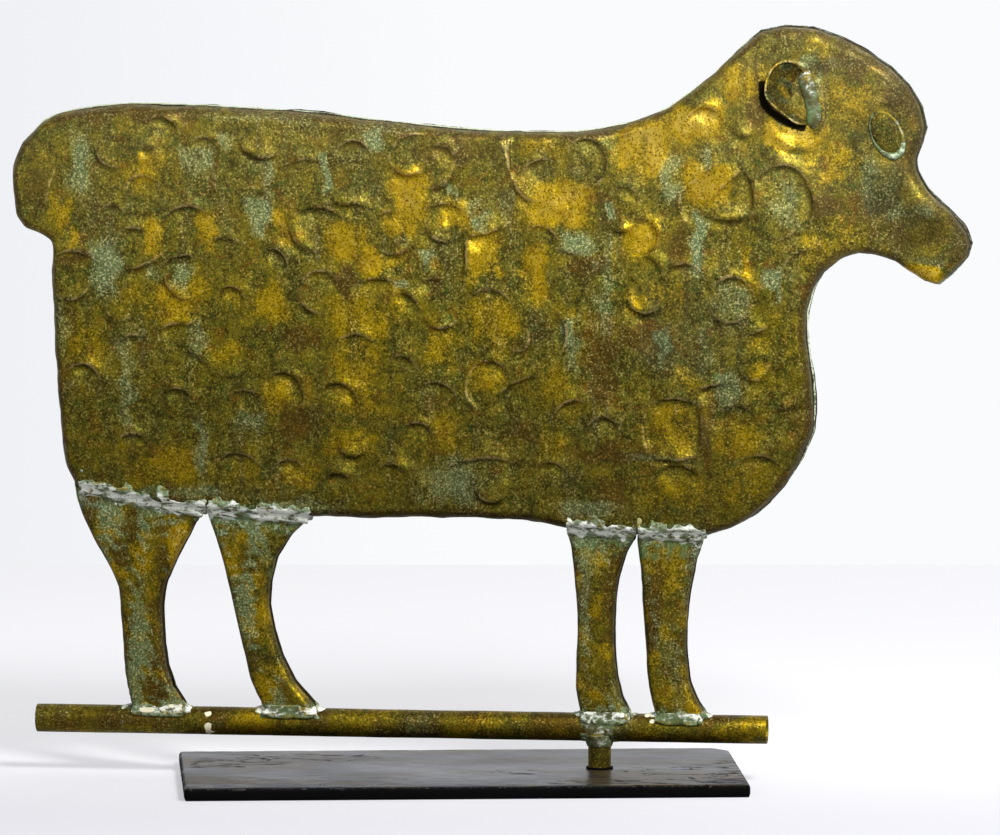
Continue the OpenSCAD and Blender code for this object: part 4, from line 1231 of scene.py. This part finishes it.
# %% Ears
EAR_HINGE = on_face(808, 92)
EAR_HALVES = (17.0, 6.5, 22.0)
EAR_WALL = 1.3
EAR_TIP_FROM = -16
EAR_TIP_PULL, EAR_TIP_REACH = (12.5, 0, -4.5), 17
EAR_SWING = math.radians(19)


def make_ear(word, side):
    """One ear, cut from a squashed ball, drawn out at the tip and swung out from the head."""
    piece = start_from(
        bpy.ops.mesh.primitive_uv_sphere_add, f"{word}_ear_cup",
        segments=64, ring_count=40, radius=1, location=(-EAR_HALVES[0] * 0.97 * MM, 0, 2.0 * MM),
        scale=tuple(h * MM for h in EAR_HALVES))
    bpy.ops.object.transform_apply()
    edit(piece,
         (bpy.ops.mesh.bisect, {"plane_co": (0, 0, 0), "plane_no": (0, side, 0), "clear_outer": True}),
         (bpy.ops.mesh.select_all, {"action": "DESELECT"}))
    for point in piece.data.vertices:
        point.select = point.co.z < EAR_TIP_FROM * MM
    bpy.ops.object.mode_set(mode="EDIT")
    bpy.ops.transform.translate(
        value=tuple(p * MM for p in EAR_TIP_PULL), use_proportional_edit=True,
        proportional_edit_falloff="SMOOTH", proportional_size=EAR_TIP_REACH * MM)
    bpy.ops.object.mode_set(mode="OBJECT")
    edit(piece, (bpy.ops.mesh.bisect, {"plane_co": (0, 0, 0), "plane_no": (1, 0, 0), "clear_outer": True}))
    finish_with(piece, "SOLIDIFY", thickness=EAR_WALL * MM, offset=0)
    finish_with(piece, "BEVEL", width=0.4 * MM, segments=2, limit_method="ANGLE")
    points = points_of(piece)
    rim = ramp(1 - np.abs(points[:, 1]) / 1.5)
    # the back rim is worn metal painted pale as a highlight, and the cup inside it darkened as painted
    # shade
    keep_value(piece, "edge", np.full(len(points), 0.9))
    back_rim = rim * ramp(-points[:, 0], 12)
    keep_value(piece, "edge_strength", back_rim)
    keep_value(piece, "dark", 0.34 * (1 - back_rim))
    keep_value(piece, "green", 0.8 * ramp(ripple(points[:, [0, 2]], 18, 31)))
    keep_value(piece, "leaf", 0.8 * ramp(ripple(points[:, [0, 2]], 14, 33)))
    piece.location = (EAR_HINGE[0] * MM, side * (FACE_DEPTH + 1.5 * MM), EAR_HINGE[1] * MM)
    piece.rotation_euler = (0, 0, -side * EAR_SWING)
    bpy.ops.object.transform_apply()
    dent(piece, small_dents, 1.0)
    smooth(piece, 60)
    put_in_place(piece, f"ear_{word}", ear_copper)


for word, side in SIDES.items():
    make_ear(word, side)

# %% The solder strip in front of each ear
EAR_STRIP = ((806, 80), (809, 90), (812, 100), (814, 109), (814, 117))
EAR_DROP = (6.0, 2.4, 9.0)

for word, side in SIDES.items():
    parts = []
    for place in EAR_STRIP:
        x, z = on_face(*place)
        parts.append(lump_at(x, side * (FACE_DEPTH / MM + 0.6), z, EAR_DROP))
    strip = melt_together(parts, f"{word}_ear_solder_run", FINE_GRAIN, 16, 0.0, 0.4, bead_lumps)
    keep_value(strip, "bloom", np.full(len(strip.data.vertices), -1.0))
    put_in_place(strip, f"ear_solder_{word}", grey_solder)

# %% [markdown]
# ## The eyes
# Each eye is an oval bump beaten up in a small sheet and sweated on with a bead of solder. A
# squashed ball, cut off flat behind, gives the bump without any modelling by hand, and a squashed
# ring gives the bead, which is then swollen at its lower end as the photograph shows.

# %% Eyes
EYE_MIDDLE = on_face(886, 133)
EYE_LONG, EYE_SHORT, EYE_RISE = 17.5, 10.8, 3.5
EYE_TILT = math.radians(-27)
EYE_SUNK = 1.5
EYE_LOWER_END = (0.35, -0.94)
RING_GROW, RING_DEPTH, RING_SWELL = 0.4, 1.26, 1.3
RING_BAR = 0.09


def make_eye(word, side):
    """One eye: a shallow oval dome and the bead of solder round it, thickest at its lower end."""
    head_y = side * FACE_DEPTH
    centre = (EYE_MIDDLE[0] * MM, head_y, EYE_MIDDLE[1] * MM)
    ring_centre = (centre[0] + 0.5 * MM, head_y, centre[2] - 0.9 * MM)
    dome = start_from(
        bpy.ops.mesh.primitive_uv_sphere_add, f"{word}_eye_dome",
        segments=56, ring_count=28, radius=1, location=centre, rotation=(0, EYE_TILT, 0),
        scale=(EYE_SHORT * MM, EYE_RISE * MM, EYE_LONG * MM))
    bpy.ops.object.transform_apply()
    edit(dome, (bpy.ops.mesh.bisect, {
        "plane_co": (0, head_y - side * EYE_SUNK * MM, 0), "plane_no": (0, side, 0),
        "clear_inner": True, "use_fill": True}))
    dent(dome, small_dents, 0.7)
    smooth(dome, 50)
    put_in_place(dome, f"eye_{word}", eye_copper)
    ring = start_from(
        bpy.ops.mesh.primitive_torus_add, f"{word}_eye_solder_ring",
        major_segments=110, minor_segments=14, major_radius=1, minor_radius=RING_BAR,
        location=ring_centre, rotation=(math.radians(90), 0, 0))
    bpy.ops.object.transform_apply(location=False, rotation=True, scale=True)
    ring.scale = ((EYE_SHORT + RING_GROW) * MM, RING_DEPTH / RING_BAR * MM, (EYE_LONG + RING_GROW) * MM)
    bpy.ops.object.transform_apply(location=False, rotation=False, scale=True)
    ring.rotation_euler = (0, EYE_TILT, 0)
    bpy.ops.object.transform_apply()
    off = points_of(ring)[:, [0, 2]] - np.array((ring_centre[0], ring_centre[2])) / MM
    thick_end = ramp(off @ np.array(EYE_LOWER_END), EYE_LONG)
    swell = ring.vertex_groups.new(name="lower_end")
    for index, weight in enumerate(thick_end.tolist()):
        swell.add([index], weight, "REPLACE")
    finish_with(ring, "DISPLACE", vertex_group="lower_end", mid_level=0, strength=RING_SWELL * MM)
    dent(ring, bead_lumps, 1.0)
    smooth(ring)
    keep_value(ring, "bloom", 0.8 * thick_end - 0.7)
    keep_value(ring, "dark", 0.35 * (1 - thick_end))
    put_in_place(ring, f"eye_solder_{word}", seam_solder)


for word, side in SIDES.items():
    make_eye(word, side)

# %% [markdown]
# ## The steel plate
# Sawn from hot rolled bar: flat faces, but a top edge that was filed and knocked. A plain cube would
# do for the flat faces, but not for its rounded corners, so a copy of the CAD plate is squared up,
# remeshed into small faces that let the worn edge wander a little, and turned back. Its back corner
# is rounded off more than the others, as the photograph shows, and the wax has cracked in places.

# %% Steel plate
PLATE_TURN = math.radians(10.7)
PLATE_LIFT, PLATE_GRAIN = 0.02, 1.7
PLATE_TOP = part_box("base_plate")[1].z
WORN_CORNER = ((718.5, 748.3), (735.5, 759.5))
CRACKED_PLACES = [
    (712, 779, 60, 12, 1.8), (650, 778, 44, 9, 1.6), (735, 768, 24, 12, 1.3), (245, 761, 40, 6, 1.4),
    (330, 757, 50, 4, 1.0), (600, 784, 50, 4, 1.0), (520, 772, 50, 4, 0.5), (205, 764, 20, 5, 0.8),
]


def on_top(u, v):
    """The x and y, in millimetres, where pixel (u, v) meets the plate's top."""
    ray = sight_line(u, v)
    place = camera.location + ray * ((PLATE_TOP - camera.location.z) / ray.z)
    return np.array((place.x, place.y)) / MM


def turn(piece, angle):
    """Turns the piece about the spindle's axis and applies its place."""
    piece.rotation_euler = (0, 0, angle)
    only(piece)
    bpy.ops.object.transform_apply()


def make_plate():
    """The plate, with one corner rounded off, a worn top edge and cracked wax."""
    piece = copy_of("base_plate", "blackened_base_plate")
    a, b = (on_top(*place) for place in WORN_CORNER)
    cut = np.array((a[1] - b[1], b[0] - a[0], 0))
    edit(piece, (bpy.ops.mesh.bisect, {
        "plane_co": (a[0] * MM, a[1] * MM, 0), "plane_no": tuple(cut),
        "clear_outer": True, "use_fill": True}))
    turn(piece, -PLATE_TURN)
    finish_with(piece, "REMESH", mode="VOXEL", voxel_size=PLATE_GRAIN * MM)
    finish_with(piece, "SMOOTH", factor=0.5, iterations=2)
    turn(piece, PLATE_TURN)
    upper = piece.vertex_groups.new(name="above_the_table")
    upper.add(np.flatnonzero(points_of(piece)[:, 2] > 2).tolist(), 1, "REPLACE")
    dent(piece, small_dents, 0.4, vertex_group="above_the_table")
    piece.location.z = PLATE_LIFT * MM
    turn(piece, 0)
    points = points_of(piece)
    squared = points[:, :2] @ np.array(((math.cos(PLATE_TURN), -math.sin(PLATE_TURN)),
                                        (math.sin(PLATE_TURN), math.cos(PLATE_TURN))))
    inward = np.minimum(squared - squared.min(0), squared.max(0) - squared).min(1)
    top = points[:, 2] / points[:, 2].max()
    keep_value(piece, "worn", ramp(2 - inward) * (top > 0.8))
    keep_value(piece, "waxed", (top > 0.9).astype(float))
    cracked = np.zeros(len(points))
    for u, v, half_wide, half_high, strength in CRACKED_PLACES:
        middle, right, near = on_top(u, v), on_top(u + half_wide, v), on_top(u, v + half_high)
        off = points[:, :2] - middle
        reach = np.hypot(off[:, 0] / (right[0] - middle[0]), off[:, 1] / (near[1] - middle[1]))
        cracked = np.maximum(cracked, strength * np.exp(-reach ** 2))
    keep_value(piece, "cracked", cracked)
    smooth(piece, 40)
    put_in_place(piece, "base_plate", plate_steel, "stand")


make_plate()

# %% [markdown]
# ## The rod, the washer and the socket tube
# These are plain turned parts that hardly show, so copies of them would add nothing. Their CAD
# shapes stay, and only their finishes are given here.

# %% Finishes of the plain turned pieces
PLAIN_FINISHES = {
    "spindle_rod": spindle_steel, "thrust_washer": washer_steel, "socket_tube": tube_copper,
}
for node, material in PLAIN_FINISHES.items():
    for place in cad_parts[node].material_slots:
        place.material = material
print("kept as made:", "spindle_rod, thrust_washer, socket_tube")

# %% [markdown]
# ## The studio
# A pale table, a white background and soft lamps. Table and background show their full
# brightness to the camera's own rays alone. What they give the sheep is weaker and comes mostly
# from behind, so the copper keeps its dark and its bright places.

# %% Table
TABLE_WIDE, TABLE_LONG, TABLE_BACK = 14, 7, 1.574
# the table is painted darker towards the front, as painted shade
TABLE_NEAR_TONE, TABLE_FAR_TONE = "#dedee4", "#fcfcff"
TABLE_GLOW = 0.56

table = start_from(bpy.ops.mesh.primitive_plane_add, "pale_table", size=1)
table.scale = (TABLE_WIDE, TABLE_LONG, 1)
table.location = (0, TABLE_BACK - TABLE_LONG / 2, 0)
bpy.ops.object.transform_apply()
table.rotation_euler = (0, 0, AZIMUTH)
bpy.ops.object.transform_apply()
table_material, table_tree = new_material("pale_table_top")
table_place = add(table_tree, "TexCoord", out="Object")
table_reach = add(table_tree, "SeparateXYZ", {"Vector": table_place}, out="Y")
table_far = mask(table_tree, -0.3, 0.35, table_reach)
table_tone = coats(table_tree, TABLE_NEAR_TONE, (TABLE_FAR_TONE, table_far))
lit = add(table_tree, "BsdfDiffuse", {"Color": table_tone})
watched = add(table_tree, "LightPath", out="Is Camera Ray")
glow_strength = coats(table_tree, 0.2, (1.0, watched))
glow = add(table_tree, "Emission", {"Color": table_tone, "Strength": glow_strength})
mixed = add(table_tree, "MixShader", {0: TABLE_GLOW, 1: lit, 2: glow})
add(table_tree, "OutputMaterial", {"Surface": mixed})
table.data.materials.append(table_material)

# %% White surroundings
# the background is painted a little greyer on the left, as painted shade
SKY_LEFT_TONE, SKY_RIGHT_TONE = "#eff0f4", "#fafbfd"

world = bpy.data.worlds.new("studio")
bpy.context.scene.world = world
world.use_nodes = True
sky = world.node_tree
sky.nodes.clear()
way = add(sky, "TexCoord", out="Generated")
behind = mask(sky, 0.0, 0.6, add(sky, "SeparateXYZ", {"Vector": way}, out="Y"))
sideways = add(sky, "SeparateXYZ", {"Vector": way}, out="X")
seen = add(sky, "LightPath", out="Is Camera Ray")
strength = coats(sky, 0.26, (0.9, behind), (1.0, seen))
tone = coats(sky, SKY_LEFT_TONE, (SKY_RIGHT_TONE, mask(sky, -0.2, -0.13, sideways)))
add(sky, "OutputWorld", {"Surface": add(sky, "Background", {"Color": tone, "Strength": strength})})


# %% Lamps
def soft_lamp(name, place, width, power, aim=(0, 0, 0.3)):
    """A square lamp this wide, in metres, turned towards its aim."""
    data = bpy.data.lights.new(name, "AREA")
    data.size = width
    data.energy = power
    lamp = bpy.data.objects.new(name, data)
    lamp.location = place
    lamp.rotation_euler = (Vector(place) - Vector(aim)).to_track_quat("Z", "Y").to_euler()
    bpy.context.scene.collection.objects.link(lamp)


soft_lamp("key_lamp", (0.95, -1.5, 1.7), 0.6, 74, (0, 0, 0.4))
soft_lamp("left_fill", (-2.0, -1.6, 0.9), 1.2, 8)
soft_lamp("back_fill", (0.6, 2.2, 1.6), 1.4, 10)
bpy.context.scene.view_settings.view_transform = "Standard"
